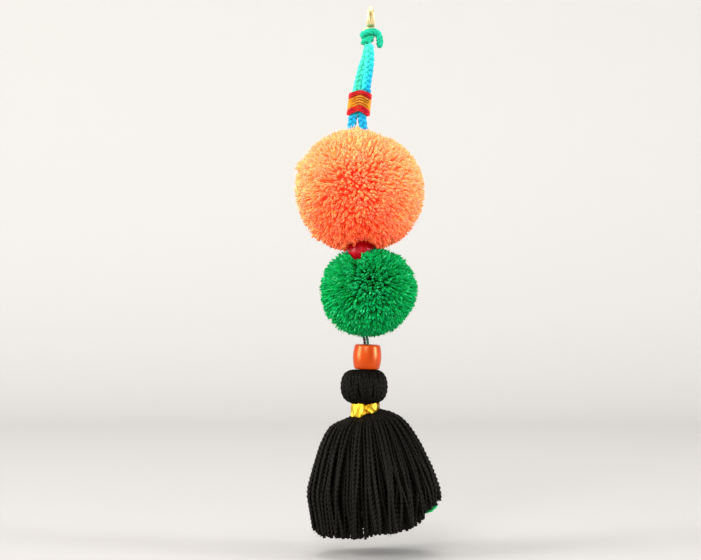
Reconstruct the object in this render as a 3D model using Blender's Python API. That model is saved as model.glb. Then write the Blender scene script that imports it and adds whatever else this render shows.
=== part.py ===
# Bag charm with two yarn pompoms, two beads and a yarn tassel on cords under a clasp.
# Lengths are in metres. Z is up, X is to the right and Y points away from the viewer.
# The origin is the point under the clasp's bow where the charm hangs.

import math
import random

import bmesh
import bpy
from mathutils import Matrix, Vector

GAP = 0.0003          # space left between neighbouring pieces

# Clasp, a loop that stands in the Y-Z plane
BOW_TOP = 0.0018
CLASP_FOOT = -0.0096
CLASP_HALF_DEPTH = 0.0044
CLASP_BAR = 0.0017
BOW_HALF_WIDTH = 0.0011
CHEEK_HALF_WIDTH = 0.0021
SLOT_TOP = -0.0016
SLOT_FOOT = -0.0072
SLOT_HALF_WIDTH = 0.0006
LEVER_HALF_WIDTH = 0.00028
EYE_CENTRE = (-0.0016, 0.0, -0.0119)
EYE_RADIUS = 0.0021
EYE_WIRE = 0.00052

# Knot cord
KNOT_CORD = 0.00175
KNOT_CENTRE = (-0.0020, 0.0, -0.0153)
KNOT_TURN_RADIUS = 0.00195
KNOT_RISE = 0.0043    # climb of one turn
KNOT_CORE = 0.0021

# Two braided cords from the knot through the band into the upper pompom
BRAID_RADIUS = 0.00215
BRAID_LOBES = 3
BRAID_DEPTH = 0.09    # height of the raised twist, as a share of the radius
BRAID_TWIST = 0.0085  # length of one full twist

# Thread band round the two cords
BAND_CENTRE = (-0.0057, 0.0, -0.0489)
BAND_HALF_WIDTH = 0.0063
BAND_HALF_DEPTH = 0.0042
BAND_TILT = 0.04      # drop towards the right
BAND_ARCH = 0.0026    # rise of the rows in front and behind

# Pompoms: half sizes across, in depth and in height
UPPER_CENTRE = (-0.0057, 0.0, -0.0939)
UPPER_HALF = (0.0337, 0.0335, 0.0325)
UPPER_CORE = 0.70     # core and shoulder of a lock, as shares of the half size
UPPER_SIDE = 5        # locks along one side of each of six patches
LOWER_CENTRE = (-0.0009, 0.0, -0.1469)
LOWER_HALF = (0.0256, 0.0250, 0.0234)
LOWER_CORE = 0.66
LOWER_SIDE = 3
SHOULDER = 0.93
NEAR_POLE = 0.12      # a cell this near to a named way, in radians, has no lock
LOCK_GAP = 0.09       # share of a lock's cell that stays open round it

# Beads
RED_CENTRE = (-0.0049, 0.0, -0.1251)
RED_HALF = (0.0070, 0.0069)       # radius and half height
RED_END = math.radians(74)        # where the ball's side meets its flat end
ORANGE_CENTRE = (-0.0018, 0.0, -0.1805)
ORANGE_HALF = (0.00745, 0.0063)
BEAD_BORE = 0.0018

# Two thin cords that thread the beads and the lower pompom
THREAD_RADIUS = 0.00052
THREAD_BORE = 0.0019

# Tassel
HEAD_CENTRE = (-0.0034, 0.0, -0.1963)
HEAD_HALF = (0.01225, 0.0110, 0.0084)
HEAD_SQUARE = 0.62    # under 1 fills out the head's shoulders
NECK_RADIUS = (0.0062, 0.0056)
WRAP_THICKNESS = 0.0011
SKIRT_DEPTH = 0.72    # front to back, as a share of the width
DOME_SHARE = 0.80     # the fused backing, as a share of the skirt's width

GREEN = (0.01, 0.36, 0.13)
GOLD = (0.93, 0.78, 0.42)


def remove_everything():
    for thing in list(bpy.data.objects):
        bpy.data.objects.remove(thing, do_unlink=True)


def material(name, colour, roughness, metallic=0.0):
    made = bpy.data.materials.new(name)
    made.use_nodes = True
    shader = made.node_tree.nodes["Principled BSDF"]
    shader.inputs["Base Color"].default_value = (*colour, 1.0)
    shader.inputs["Roughness"].default_value = roughness
    shader.inputs["Metallic"].default_value = metallic
    return made


def add_object(name, mesh, finish=None, smooth=True):
    thing = bpy.data.objects.new(name, mesh)
    bpy.context.scene.collection.objects.link(thing)
    if finish is not None:
        mesh.materials.clear()
        mesh.materials.append(finish)
    mesh.polygons.foreach_set("use_smooth", [smooth] * len(mesh.polygons))
    return thing


def mesh_from_rings(name, rings, closed=False):
    """Joins rings of points that have the same count. Open rows of rings get flat ends."""
    bm = bmesh.new()
    rows = [[bm.verts.new(point) for point in ring] for ring in rings]
    count = len(rings[0])
    pairs = list(zip(rows, rows[1:]))
    if closed:
        pairs.append((rows[-1], rows[0]))
    for lower, upper in pairs:
        for i in range(count):
            j = (i + 1) % count
            bm.faces.new((lower[i], lower[j], upper[j], upper[i]))
    if not closed:
        bm.faces.new(list(reversed(rows[0])))
        bm.faces.new(rows[-1])
    bmesh.ops.recalc_face_normals(bm, faces=bm.faces)
    mesh = bpy.data.meshes.new(name)
    bm.to_mesh(mesh)
    bm.free()
    return mesh


def smooth_path(stations, step):
    """Points about one step apart on a curve through the stations, each (point, radius)."""
    path = []
    last = len(stations) - 1
    for i in range(last):
        before = stations[max(i - 1, 0)]
        here = stations[i]
        after = stations[i + 1]
        beyond = stations[min(i + 2, last)]
        length = (Vector(after[0]) - Vector(here[0])).length
        parts = max(1, round(length / step))
        for k in range(parts):
            t = k / parts
            values = []
            for a, b, c, d in zip((*before[0], before[1]), (*here[0], here[1]),
                                  (*after[0], after[1]), (*beyond[0], beyond[1])):
                slope = (c - a) / 2
                next_slope = (d - b) / 2
                values.append(
                    (2 * t**3 - 3 * t**2 + 1) * b + (t**3 - 2 * t**2 + t) * slope
                    + (3 * t**2 - 2 * t**3) * c + (t**3 - t**2) * next_slope)
            path.append((Vector(values[:3]), values[3]))
    path.append((Vector(stations[last][0]), stations[last][1]))
    return path


def tube_rings(path, sides, lobes=0, depth=0.0, twist=1.0, grow=0.0):
    """Rings round a path of (point, radius). Lobes raise the twist of a laid cord."""
    rings = []
    across = None
    travelled = 0.0
    for i, (point, radius) in enumerate(path):
        ahead = path[min(i + 1, len(path) - 1)][0] - path[max(i - 1, 0)][0]
        ahead.normalize()
        if across is None:
            across = ahead.orthogonal().normalized()
        else:
            travelled += (point - path[i - 1][0]).length
            across = (across - ahead * across.dot(ahead)).normalized()
        beside = ahead.cross(across)
        ring = []
        for k in range(sides):
            angle = 2 * math.pi * k / sides
            turn = 2 * math.pi * travelled / twist
            size = radius * (1 + depth * math.cos(lobes * (angle - turn))) + grow
            ring.append(point + across * (size * math.cos(angle))
                        + beside * (size * math.sin(angle)))
        rings.append(ring)
    return rings


def apply_boolean(target, cutter, operation):
    """Joins or cuts with another object, which is then removed."""
    step = target.modifiers.new(operation.lower(), "BOOLEAN")
    step.operation = operation
    step.solver = "EXACT"
    step.object = cutter
    cutter.hide_render = True
    cutter.display_type = "WIRE"
    graph = bpy.context.evaluated_depsgraph_get()
    result = bpy.data.meshes.new_from_object(target.evaluated_get(graph))
    result.name = target.data.name + "_" + operation.lower()
    target.modifiers.remove(step)
    target.data = result
    bpy.data.objects.remove(cutter, do_unlink=True)


def tidy_mesh(thing, distance=0.00002):
    """Welds points that a boolean left almost on each other and makes triangles."""
    bm = bmesh.new()
    bm.from_mesh(thing.data)
    bmesh.ops.remove_doubles(bm, verts=bm.verts, dist=distance)
    bmesh.ops.dissolve_degenerate(bm, edges=bm.edges, dist=distance)
    bmesh.ops.triangulate(bm, faces=bm.faces)
    bmesh.ops.recalc_face_normals(bm, faces=bm.faces)
    bm.to_mesh(thing.data)
    bm.free()


def box_object(name, low, high):
    bm = bmesh.new()
    bmesh.ops.create_cube(bm, size=1.0)
    size = Vector(high) - Vector(low)
    centre = (Vector(high) + Vector(low)) / 2
    bmesh.ops.scale(bm, vec=size, verts=bm.verts)
    bmesh.ops.translate(bm, vec=centre, verts=bm.verts)
    mesh = bpy.data.meshes.new(name)
    bm.to_mesh(mesh)
    bm.free()
    return add_object(name, mesh, smooth=False)


def ball_object(name, centre, halves, across=20, rows=12):
    bm = bmesh.new()
    bmesh.ops.create_uvsphere(bm, u_segments=across, v_segments=rows, radius=1.0)
    bmesh.ops.scale(bm, vec=halves, verts=bm.verts)
    bmesh.ops.translate(bm, vec=centre, verts=bm.verts)
    mesh = bpy.data.meshes.new(name)
    bm.to_mesh(mesh)
    bm.free()
    return add_object(name, mesh)


def tube_object(name, stations, step, sides, grow=0.0, lobes=0, depth=0.0, twist=1.0):
    path = smooth_path(stations, step)
    rings = tube_rings(path, sides, lobes, depth, twist, grow)
    return add_object(name, mesh_from_rings(name, rings))


def loop_width(height):
    """Half width of the clasp's bar in X: slim at the bow and full at the cheeks."""
    share = min(max((BOW_TOP - height) / (BOW_TOP - SLOT_TOP), 0.0), 1.0)
    return BOW_HALF_WIDTH + (CHEEK_HALF_WIDTH - BOW_HALF_WIDTH) * math.sin(share * math.pi / 2)


def eye_rings(grow, turns=16, sides=8):
    rings = []
    for i in range(turns):
        angle = 2 * math.pi * i / turns
        outward = Vector((math.cos(angle), 0.0, math.sin(angle)))
        middle = Vector(EYE_CENTRE) + outward * EYE_RADIUS
        ring = []
        for k in range(sides):
            side = 2 * math.pi * k / sides
            ring.append(middle + outward * ((EYE_WIRE + grow) * math.cos(side))
                        + Vector((0.0, (EYE_WIRE + grow) * math.sin(side), 0.0)))
        rings.append(ring)
    return rings


def build_clasp(finish):
    middle = (BOW_TOP + CLASP_FOOT) / 2
    half_height = (BOW_TOP - CLASP_FOOT) / 2 - CLASP_BAR / 2
    half_depth = CLASP_HALF_DEPTH - CLASP_BAR / 2
    corners = ((-1.0, -0.55), (-0.6, -1.0), (0.6, -1.0), (1.0, -0.55),
               (1.0, 0.55), (0.6, 1.0), (-0.6, 1.0), (-1.0, 0.55))
    rings = []
    turns = 28
    for i in range(turns):
        angle = 2 * math.pi * i / turns
        point = Vector((0.0, half_depth * math.cos(angle), middle + half_height * math.sin(angle)))
        outward = Vector((0.0, math.cos(angle) / half_depth, math.sin(angle) / half_height))
        outward.normalize()
        width = loop_width(point.z)
        ring = []
        for across, thick in corners:
            ring.append(point + Vector((width * across, 0.0, 0.0))
                        + outward * (thick * CLASP_BAR / 2))
        rings.append(ring)
    body = add_object("clasp_body", mesh_from_rings("clasp_body", rings, closed=True))
    eye = add_object("eye", mesh_from_rings("eye", eye_rings(0.0), closed=True))
    apply_boolean(body, eye, "UNION")
    shank = box_object("shank", (-0.0022, -0.0008, -0.0103), (0.0002, 0.0008, -0.0091))
    apply_boolean(body, shank, "UNION")
    slot = box_object("slot", (-SLOT_HALF_WIDTH, -0.0060, SLOT_FOOT),
                      (SLOT_HALF_WIDTH, -0.0018, SLOT_TOP))
    apply_boolean(body, slot, "DIFFERENCE")
    tidy_mesh(body)
    body.data.materials.append(finish)
    lever = box_object("clasp_lever", (-LEVER_HALF_WIDTH, -0.0040, SLOT_FOOT + GAP),
                       (LEVER_HALF_WIDTH, -0.0029, SLOT_TOP - GAP))
    lever.data.materials.append(finish)


def braid_stations(side):
    """Middle of one braided cord, from the knot down into the upper pompom, with its radius."""
    # height, x of the left cord, x of the right cord, half of the depth between them, radius
    rows = (
        (-0.0192, -0.00110, -0.00075, 0.00262, 0.95),
        (-0.0245, -0.00240, -0.00040, 0.00245, 0.98),
        (-0.0290, -0.00390, -0.00065, 0.00205, 1.00),
        (-0.0340, -0.00525, -0.00130, 0.00160, 1.00),
        (-0.0400, -0.00665, -0.00225, 0.00120, 1.00),
        (-0.0440, -0.00735, -0.00230, 0.00000, 1.00),
        (-0.0530, -0.00860, -0.00345, 0.00000, 0.98),
        (-0.0580, -0.00950, -0.00405, 0.00000, 0.95),
        (-0.0640, -0.01020, -0.00370, 0.00000, 0.92),
        (-0.0765, -0.00980, -0.00360, 0.00000, 0.92),
    )
    stations = []
    for height, left, right, apart, share in rows:
        x = left if side < 0 else right
        stations.append(((x, -side * apart, height), BRAID_RADIUS * share))
    return stations


def build_braids(finish):
    for name, side in (("cord_left", -1), ("cord_right", 1)):
        cord = tube_object(name, braid_stations(side), 0.0016, 9,
                           lobes=BRAID_LOBES, depth=BRAID_DEPTH, twist=BRAID_TWIST)
        cord.data.materials.append(finish)


def braid_cutters():
    grow = GAP + BRAID_RADIUS * BRAID_DEPTH
    return [tube_object("way_" + str(side), braid_stations(side), 0.0022, 12, grow=grow)
            for side in (-1, 1)]


def knot_stations():
    """One cord: a turn climbing round the core, then an arch over to the right."""
    stations = []
    steps = 8
    for i in range(steps):
        angle = math.radians(200) + 2 * math.pi * i / steps
        height = KNOT_RISE * (i / steps - 0.5)
        stations.append(((KNOT_CENTRE[0] + KNOT_TURN_RADIUS * math.cos(angle),
                          KNOT_CENTRE[1] + KNOT_TURN_RADIUS * math.sin(angle),
                          KNOT_CENTRE[2] + height), KNOT_CORD))
    arch = (
        ((-0.0037, -0.0012, -0.0130), 0.00175),
        ((-0.0017, -0.0023, -0.0123), 0.00180),
        ((0.0010, -0.0022, -0.0118), 0.00185),
        ((0.0036, -0.0014, -0.0128), 0.00185),
        ((0.0048, -0.0008, -0.0155), 0.00185),
        ((0.0050, -0.0006, -0.0182), 0.00185),
        ((0.0047, -0.0006, -0.0203), 0.00165),
    )
    return stations + list(arch)


def build_knot(finish):
    knot = tube_object("knot", knot_stations(), 0.0013, 9,
                       lobes=BRAID_LOBES, depth=0.07, twist=0.007)
    core = ball_object("core", KNOT_CENTRE, (KNOT_CORE, KNOT_CORE, 0.0044), 12, 8)
    apply_boolean(knot, core, "UNION")
    eye = add_object("eye_way", mesh_from_rings("eye_way", eye_rings(GAP), closed=True))
    apply_boolean(knot, eye, "DIFFERENCE")
    for cutter in braid_cutters():
        apply_boolean(knot, cutter, "DIFFERENCE")
    tidy_mesh(knot)
    knot.data.materials.append(finish)


def band_row_rings(low, high, turns=20):
    """A bulged ring of thread between two heights above the band's centre."""
    rings = []
    bulge = 0.0005
    for i in range(turns):
        angle = 2 * math.pi * i / turns
        x = math.copysign(abs(math.cos(angle)) ** 0.8, math.cos(angle))
        y = math.copysign(abs(math.sin(angle)) ** 0.8, math.sin(angle))
        ring = []
        for share, level in ((0.25, low), (0.88, low), (1.0, low + bulge),
                             (1.0, high - bulge), (0.88, high), (0.25, high)):
            arch = BAND_ARCH * (0.5 + share * (0.5 - x * x))
            ring.append(Vector((
                BAND_CENTRE[0] + x * BAND_HALF_WIDTH * share,
                BAND_CENTRE[1] + y * BAND_HALF_DEPTH * share,
                BAND_CENTRE[2] + level + arch - BAND_TILT * x * BAND_HALF_WIDTH * share)))
        rings.append(ring)
    return rings


def build_band(red, yellow):
    """Three rows of wrapped thread, each a solid of its own."""
    # name, foot and top of the row above the band's centre at its sides, thread
    rows = (
        ("band_upper", 0.0018, 0.0039, red),
        ("band_middle", -0.0036, 0.0018 - GAP, yellow),
        ("band_lower", -0.0063, -0.0036 - GAP, red),
    )
    for name, foot, top, finish in rows:
        rings = band_row_rings(foot, top)
        bm = bmesh.new()
        points = [[bm.verts.new(point) for point in ring] for ring in rings]
        for here, beyond in zip(points, points[1:] + points[:1]):
            for k in range(len(here) - 1):
                bm.faces.new((here[k], here[k + 1], beyond[k + 1], beyond[k]))
        for end, level in ((0, foot), (-1, top)):
            hub = bm.verts.new(Vector(BAND_CENTRE) + Vector((0, 0, level + BAND_ARCH / 2)))
            for here, beyond in zip(points, points[1:] + points[:1]):
                bm.faces.new((here[end], beyond[end], hub))
        bmesh.ops.recalc_face_normals(bm, faces=bm.faces)
        mesh = bpy.data.meshes.new(name)
        bm.to_mesh(mesh)
        bm.free()
        row = add_object(name, mesh)
        for cutter in braid_cutters():
            apply_boolean(row, cutter, "DIFFERENCE")
        tidy_mesh(row)
        row.data.materials.append(finish)


def patch_points(side):
    """Cells of a cube pushed out to a ball: a bmesh with side x side cells on each face."""
    bm = bmesh.new()
    bmesh.ops.create_cube(bm, size=2.0)
    bmesh.ops.subdivide_edges(bm, edges=bm.edges, cuts=side - 1, use_grid_fill=True)
    for vert in bm.verts:
        angles = [math.tan(value * math.pi / 4) for value in vert.co]
        vert.co = Vector(angles).normalized()
    return bm


def build_pompom(name, centre, halves, core, side, turn, seed, skip, finish):
    """A core whose cells are drawn out into locks, each open round its sides."""
    rng = random.Random(seed)
    bm = patch_points(side)
    cells = list(bm.faces)
    skipped = [Vector(way).normalized() for way in skip]
    locks = []
    for face in cells:
        middle = face.calc_center_median().normalized()
        if not any(middle.angle(way) < NEAR_POLE for way in skipped):
            locks.append(face)
    for vert in bm.verts:
        vert.co *= core
    for face in locks:
        middle = face.calc_center_median()
        corners = [vert.co.copy() for vert in face.verts]
        inset = LOCK_GAP * rng.uniform(0.8, 1.5)       # uneven, as cut yarn is
        tips = [corner.lerp(middle, inset) for corner in corners]
        bmesh.ops.inset_individual(bm, faces=[face], thickness=0.0)
        for vert, place in zip(face.verts, tips):
            vert.co = place.normalized() * core
        grown = bmesh.ops.extrude_discrete_faces(bm, faces=[face])["faces"][0]
        reach = rng.uniform(0.98, 1.0)
        for vert in grown.verts:
            vert.co = vert.co.normalized() * SHOULDER * rng.uniform(0.975, 1.015)
        point = bmesh.ops.poke(bm, faces=[grown])["verts"][0]
        point.co = point.co.normalized() * reach
    place = Matrix.Translation(centre) @ Matrix.Diagonal((*halves, 1.0))
    place = place @ Matrix.Rotation(turn, 4, "Z")
    bmesh.ops.transform(bm, matrix=place, verts=bm.verts)
    bmesh.ops.triangulate(bm, faces=bm.faces)
    bmesh.ops.recalc_face_normals(bm, faces=bm.faces)
    mesh = bpy.data.meshes.new(name)
    bm.to_mesh(mesh)
    bm.free()
    return add_object(name, mesh, finish, smooth=False)


# Route of the two thin cords: height, x of the pair's middle, half of the space between them
THREAD_ROWS = (
    (-0.1130, -0.00490, 0.00080),
    (-0.1251, -0.00490, 0.00080),
    (-0.1469, -0.00330, 0.00080),
    (-0.1660, -0.00270, 0.00085),
    (-0.1698, -0.00260, 0.00080),
    (-0.1730, -0.00210, 0.00085),
    (-0.1805, -0.00180, 0.00080),
    (-0.1870, -0.00190, 0.00080),
    (-0.1925, -0.00200, 0.00080),
)


def thread_stations(side):
    """Middle of one thin cord from the upper pompom's core down into the tassel's head."""
    return [((x + side * apart, 0.0, height), THREAD_RADIUS) for height, x, apart in THREAD_ROWS]


def build_threads(black, green):
    for name, side, finish in (("cord_black", -1, black), ("cord_green", 1, green)):
        cord = tube_object(name, thread_stations(side), 0.0045, 8)
        cord.data.materials.append(finish)


def thread_bore(name, top, bottom, radius):
    """A round way for both thin cords between two heights."""
    inside = [(x, height) for height, x, apart in THREAD_ROWS if bottom < height < top]
    ends = [(inside[0][0], top)] + inside + [(inside[-1][0], bottom)]
    return tube_object(name, [((x, 0.0, height), radius) for x, height in ends], 0.004, 12)


def build_pompoms(orange, green):
    upper = build_pompom("pompom_upper", UPPER_CENTRE, UPPER_HALF, UPPER_CORE, UPPER_SIDE,
                         math.radians(12), 5, ((0, 0, 1), (0, 0, -1)), orange)
    red_way = (RED_HALF[0] + GAP, RED_HALF[0] + GAP, RED_HALF[1] + GAP)
    for cutter in braid_cutters():
        apply_boolean(upper, cutter, "DIFFERENCE")
    apply_boolean(upper, ball_object("red_way", RED_CENTRE, red_way), "DIFFERENCE")
    apply_boolean(upper, tube_object("upper_bore", (
        ((RED_CENTRE[0], 0.0, -0.1115), THREAD_BORE),
        ((RED_CENTRE[0], 0.0, -0.1200), THREAD_BORE)), 0.01, 12), "DIFFERENCE")
    tidy_mesh(upper)
    lower = build_pompom("pompom_lower", LOWER_CENTRE, LOWER_HALF, LOWER_CORE, LOWER_SIDE,
                         math.radians(-8), 9, ((0, 0, 1),), green)
    apply_boolean(lower, ball_object("red_way", RED_CENTRE, red_way), "DIFFERENCE")
    apply_boolean(lower, thread_bore("lower_bore", -0.124, -0.172, THREAD_BORE), "DIFFERENCE")
    tidy_mesh(lower)


def bead_rings(profile, bore, turns):
    """Turned bead: the profile outside and a round bore inside."""
    inner = [(bore, profile[-1][1]), (bore, profile[0][1])]
    outline = list(profile) + inner
    rings = []
    for i in range(turns):
        angle = 2 * math.pi * i / turns
        rings.append([Vector((radius * math.cos(angle), radius * math.sin(angle), height))
                      for radius, height in outline])
    return rings


def build_beads(red, orange):
    radius, half = RED_HALF
    profile = []
    steps = 10
    for i in range(steps + 1):
        angle = RED_END * (2 * i / steps - 1)
        profile.append((radius * math.cos(angle), half * math.sin(angle) / math.sin(RED_END)))
    mesh = mesh_from_rings("bead_red", bead_rings(profile, BEAD_BORE, 24), closed=True)
    add_object("bead_red", mesh, red)
    mesh.transform(Matrix.Translation(RED_CENTRE))
    radius, half = ORANGE_HALF
    # share of the radius, share of the half height
    rows = ((0.80, -1.0), (0.88, -0.95), (0.95, -0.62), (1.0, 0.0),
            (0.95, 0.62), (0.88, 0.95), (0.80, 1.0))
    profile = [(radius * across, half * up) for across, up in rows]
    mesh = mesh_from_rings("bead_orange", bead_rings(profile, BEAD_BORE, 28), closed=True)
    add_object("bead_orange", mesh, orange)
    lean = Matrix.Rotation(math.radians(2.0), 4, "Y")
    mesh.transform(Matrix.Translation(ORANGE_CENTRE) @ lean)


# Outline of the tassel's skirt: height, left edge, right edge and lift towards the right
SKIRT_ROWS = (
    (-0.2100, -0.0100, 0.0048, 0.24),
    (-0.2112, -0.0132, 0.0095, 0.18),
    (-0.2137, -0.0176, 0.0160, 0.08),
    (-0.2166, -0.0212, 0.0195, 0.03),
    (-0.2207, -0.0238, 0.0227, 0.01),
    (-0.2273, -0.0267, 0.0268, 0.00),
    (-0.2379, -0.0300, 0.0321, 0.00),
    (-0.2487, -0.0326, 0.0361, 0.00),
    (-0.2535, -0.0328, 0.0368, 0.00),
    (-0.2755, -0.0292, 0.0375, 0.00),
)


def skirt_at(height):
    """Middle, half width and lift of the skirt at a height."""
    rows = SKIRT_ROWS
    for upper, lower in zip(rows, rows[1:]):
        if height >= lower[0]:
            t = min(max((upper[0] - height) / (upper[0] - lower[0]), 0.0), 1.0)
            left = upper[1] + (lower[1] - upper[1]) * t
            right = upper[2] + (lower[2] - upper[2]) * t
            lift = upper[3] + (lower[3] - upper[3]) * t
            return (left + right) / 2, (right - left) / 2, lift
    last = rows[-1]
    return (last[1] + last[2]) / 2, (last[2] - last[1]) / 2, last[3]


def skirt_foot(x):
    """Height of the strand ends across the skirt: lowest at the left, higher at the right."""
    # x, height of the ends
    rows = ((-0.034, -0.2700), (-0.028, -0.2750), (0.000, -0.2752), (0.012, -0.2730),
            (0.022, -0.2685), (0.030, -0.2610), (0.037, -0.2550))
    for here, beyond in zip(rows, rows[1:]):
        if x <= beyond[0]:
            t = min(max((x - here[0]) / (beyond[0] - here[0]), 0.0), 1.0)
            return here[1] + (beyond[1] - here[1]) * t
    return rows[-1][1]


def skirt_point(height, angle, share):
    middle, half, lift = skirt_at(height)
    x = half * share * math.cos(angle)
    y = half * share * math.sin(angle) * SKIRT_DEPTH
    return Vector((middle + x, y, height + lift * x))


def lock_rings(heights, angle, share, thick, wide, corners):
    """One lock of the skirt, a few straight lengths between the given heights."""
    rings = []
    for height in heights:
        ring = []
        for out, along in corners:
            ring.append(skirt_point(height, angle + along * wide, share + out * thick))
        rings.append(ring)
    return rings


FOUR_SIDES = ((-1.0, -1.0), (1.0, -1.0), (1.0, 1.0), (-1.0, 1.0))
THREE_SIDES = ((-0.9, 0.0), (0.9, -1.0), (0.9, 1.0))


def skirt_locks():
    """Rows of locks: middle as a share of the half width, count, first angle, top, corners."""
    rings_of_locks = (
        (0.925, 34, 0.04, (-0.2128, -0.2152, -0.2190, -0.2273, -0.2400, -0.2520), FOUR_SIDES),
        (0.745, 26, 0.12, (-0.2215, -0.2457), THREE_SIDES),
        (0.560, 19, 0.00, (-0.2215, -0.2457), THREE_SIDES),
        (0.360, 12, 0.20, (-0.2215, -0.2457), THREE_SIDES),
        (0.150, 4, 0.30, (-0.2215, -0.2457), THREE_SIDES),
    )
    rng = random.Random(21)
    locks = []
    for share, count, first, heights, corners in rings_of_locks:
        for i in range(count):
            angle = first + 2 * math.pi * i / count
            pitch = 2 * math.pi / count
            wide = pitch * 0.40 * rng.uniform(0.88, 1.0)
            end = skirt_point(-0.2600, angle, share)
            foot = skirt_foot(end.x) + rng.uniform(-0.0004, 0.0016)
            used = [height for height in heights if height > foot + 0.004]
            locks.append((share, angle, wide, used + [foot], corners))
    return locks


GREEN_LOCK = 2        # this lock of the outer row is the green yarn end


def join_rings(name, groups):
    """One mesh of several separate closed shapes."""
    bm = bmesh.new()
    for rings in groups:
        piece = mesh_from_rings("piece", rings)
        bm.from_mesh(piece)
        bpy.data.meshes.remove(piece)
    mesh = bpy.data.meshes.new(name)
    bm.to_mesh(mesh)
    bm.free()
    return add_object(name, mesh)


def backing_rings(turns=36):
    """Head, neck and dome in one turned shape. Ridges of yarn are raised on the head."""
    rings = []
    rows = 9
    for i in range(rows):
        angle = math.radians(84 - 148 * i / (rows - 1))
        ridge = 0.025 * math.cos(angle)
        ring = []
        for k in range(turns):
            turn = 2 * math.pi * k / turns
            size = math.cos(angle) ** HEAD_SQUARE * (1 + (ridge if k % 2 else -ridge))
            ring.append(Vector((HEAD_CENTRE[0] + HEAD_HALF[0] * size * math.cos(turn),
                                HEAD_CENTRE[1] + HEAD_HALF[1] * size * math.sin(turn),
                                HEAD_CENTRE[2] + HEAD_HALF[2] * math.sin(angle))))
        rings.append(ring)
    for height, lift in ((-0.2042, 0.0), (-0.2114, 0.27)):
        ring = []
        for k in range(turns):
            turn = 2 * math.pi * k / turns
            x = NECK_RADIUS[0] * math.cos(turn)
            ring.append(Vector((-0.0028 + x, NECK_RADIUS[1] * math.sin(turn), height + lift * x)))
        rings.append(ring)
    # height, share of the skirt's half width
    dome = ((-0.2120, 0.80), (-0.2134, 0.93), (-0.2155, 0.93), (-0.2190, 0.91), (-0.2222, 0.88),
            (-0.2245, DOME_SHARE), (-0.2268, 0.62), (-0.2274, 0.20))
    for height, share in dome:
        rings.append([skirt_point(height, 2 * math.pi * k / turns, share) for k in range(turns)])
    return rings


def build_tassel(black, green, gold):
    tassel = add_object("tassel", mesh_from_rings("tassel", backing_rings()))
    locks = skirt_locks()
    share, angle, wide, heights, corners = locks.pop(GREEN_LOCK)
    groups = [lock_rings(used, way, where, 0.062, half, shape)
              for where, way, half, used, shape in locks]
    apply_boolean(tassel, join_rings("locks", groups), "UNION")
    heights = heights[2:-1] + [-0.2606]
    rings = lock_rings(heights, angle, share, 0.028, wide * 0.55, corners)
    cutter = join_rings("green_way", [lock_rings(heights[:-1] + [-0.29], angle, share,
                                                 0.028 + 0.014, wide * 0.55 + 0.016, corners)])
    apply_boolean(tassel, cutter, "DIFFERENCE")
    apply_boolean(tassel, thread_bore("head_bore", -0.186, -0.194, THREAD_BORE), "DIFFERENCE")
    tidy_mesh(tassel)
    tassel.data.materials.append(black)
    add_object("yarn_green", mesh_from_rings("yarn_green", rings), green)
    build_wrap(gold)


def build_wrap(finish, turns=40):
    """Foil wound round the neck: tall at the left, pinched in front, slimmer at the right."""
    rings = []
    section = ((0.0, -1.0), (0.75, -0.85), (1.0, -0.3), (0.9, 0.3), (0.7, 0.85), (0.0, 1.0))
    for i in range(turns):
        turn = 2 * math.pi * i / turns
        x = math.cos(turn)
        y = math.sin(turn)
        pinch = math.exp(-((x - 0.15) / 0.22) ** 2) if y < 0 else 0.0
        half = 0.0033 - 0.0007 * x - 0.0010 * pinch
        middle = -0.2077 + 0.0011 * x
        thick = WRAP_THICKNESS * (0.85 + 0.25 * pinch + 0.10 * math.cos(7 * turn))
        ring = []
        for out, up in section:
            reach = GAP + thick * out
            ring.append(Vector((-0.0028 + (NECK_RADIUS[0] + reach) * x,
                                (NECK_RADIUS[1] + reach) * y, middle + half * up)))
        rings.append(ring)
    mesh = mesh_from_rings("wrap_gold", rings, closed=True)
    add_object("wrap_gold", mesh, finish)


def main():
    remove_everything()
    gold = material("pale_gold", GOLD, 0.28, 1.0)
    mint = material("mint_cord", (0.02, 0.66, 0.34), 0.8)
    cyan = material("blue_cord", (0.03, 0.55, 0.72), 0.8)
    red = material("red_thread", (0.62, 0.01, 0.03), 0.75)
    yellow = material("yellow_thread", (0.90, 0.36, 0.02), 0.75)
    orange_yarn = material("orange_yarn", (0.95, 0.20, 0.06), 0.9)
    green_yarn = material("green_yarn", GREEN, 0.9)
    black_yarn = material("black_yarn", (0.012, 0.012, 0.011), 0.9)
    red_bead = material("red_bead", (0.50, 0.004, 0.02), 0.18)
    orange_bead = material("orange_bead", (0.85, 0.09, 0.0), 0.2)
    foil = material("gold_foil", (0.95, 0.66, 0.08), 0.25, 1.0)
    build_clasp(gold)
    build_knot(mint)
    build_braids(cyan)
    build_band(red, yellow)
    build_pompoms(orange_yarn, green_yarn)
    build_threads(black_yarn, green_yarn)
    build_beads(red_bead, orange_bead)
    build_tassel(black_yarn, green_yarn, foil)


main()
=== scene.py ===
import math

import bmesh
import bpy
import numpy as np
from mathutils import Matrix, Vector


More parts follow.
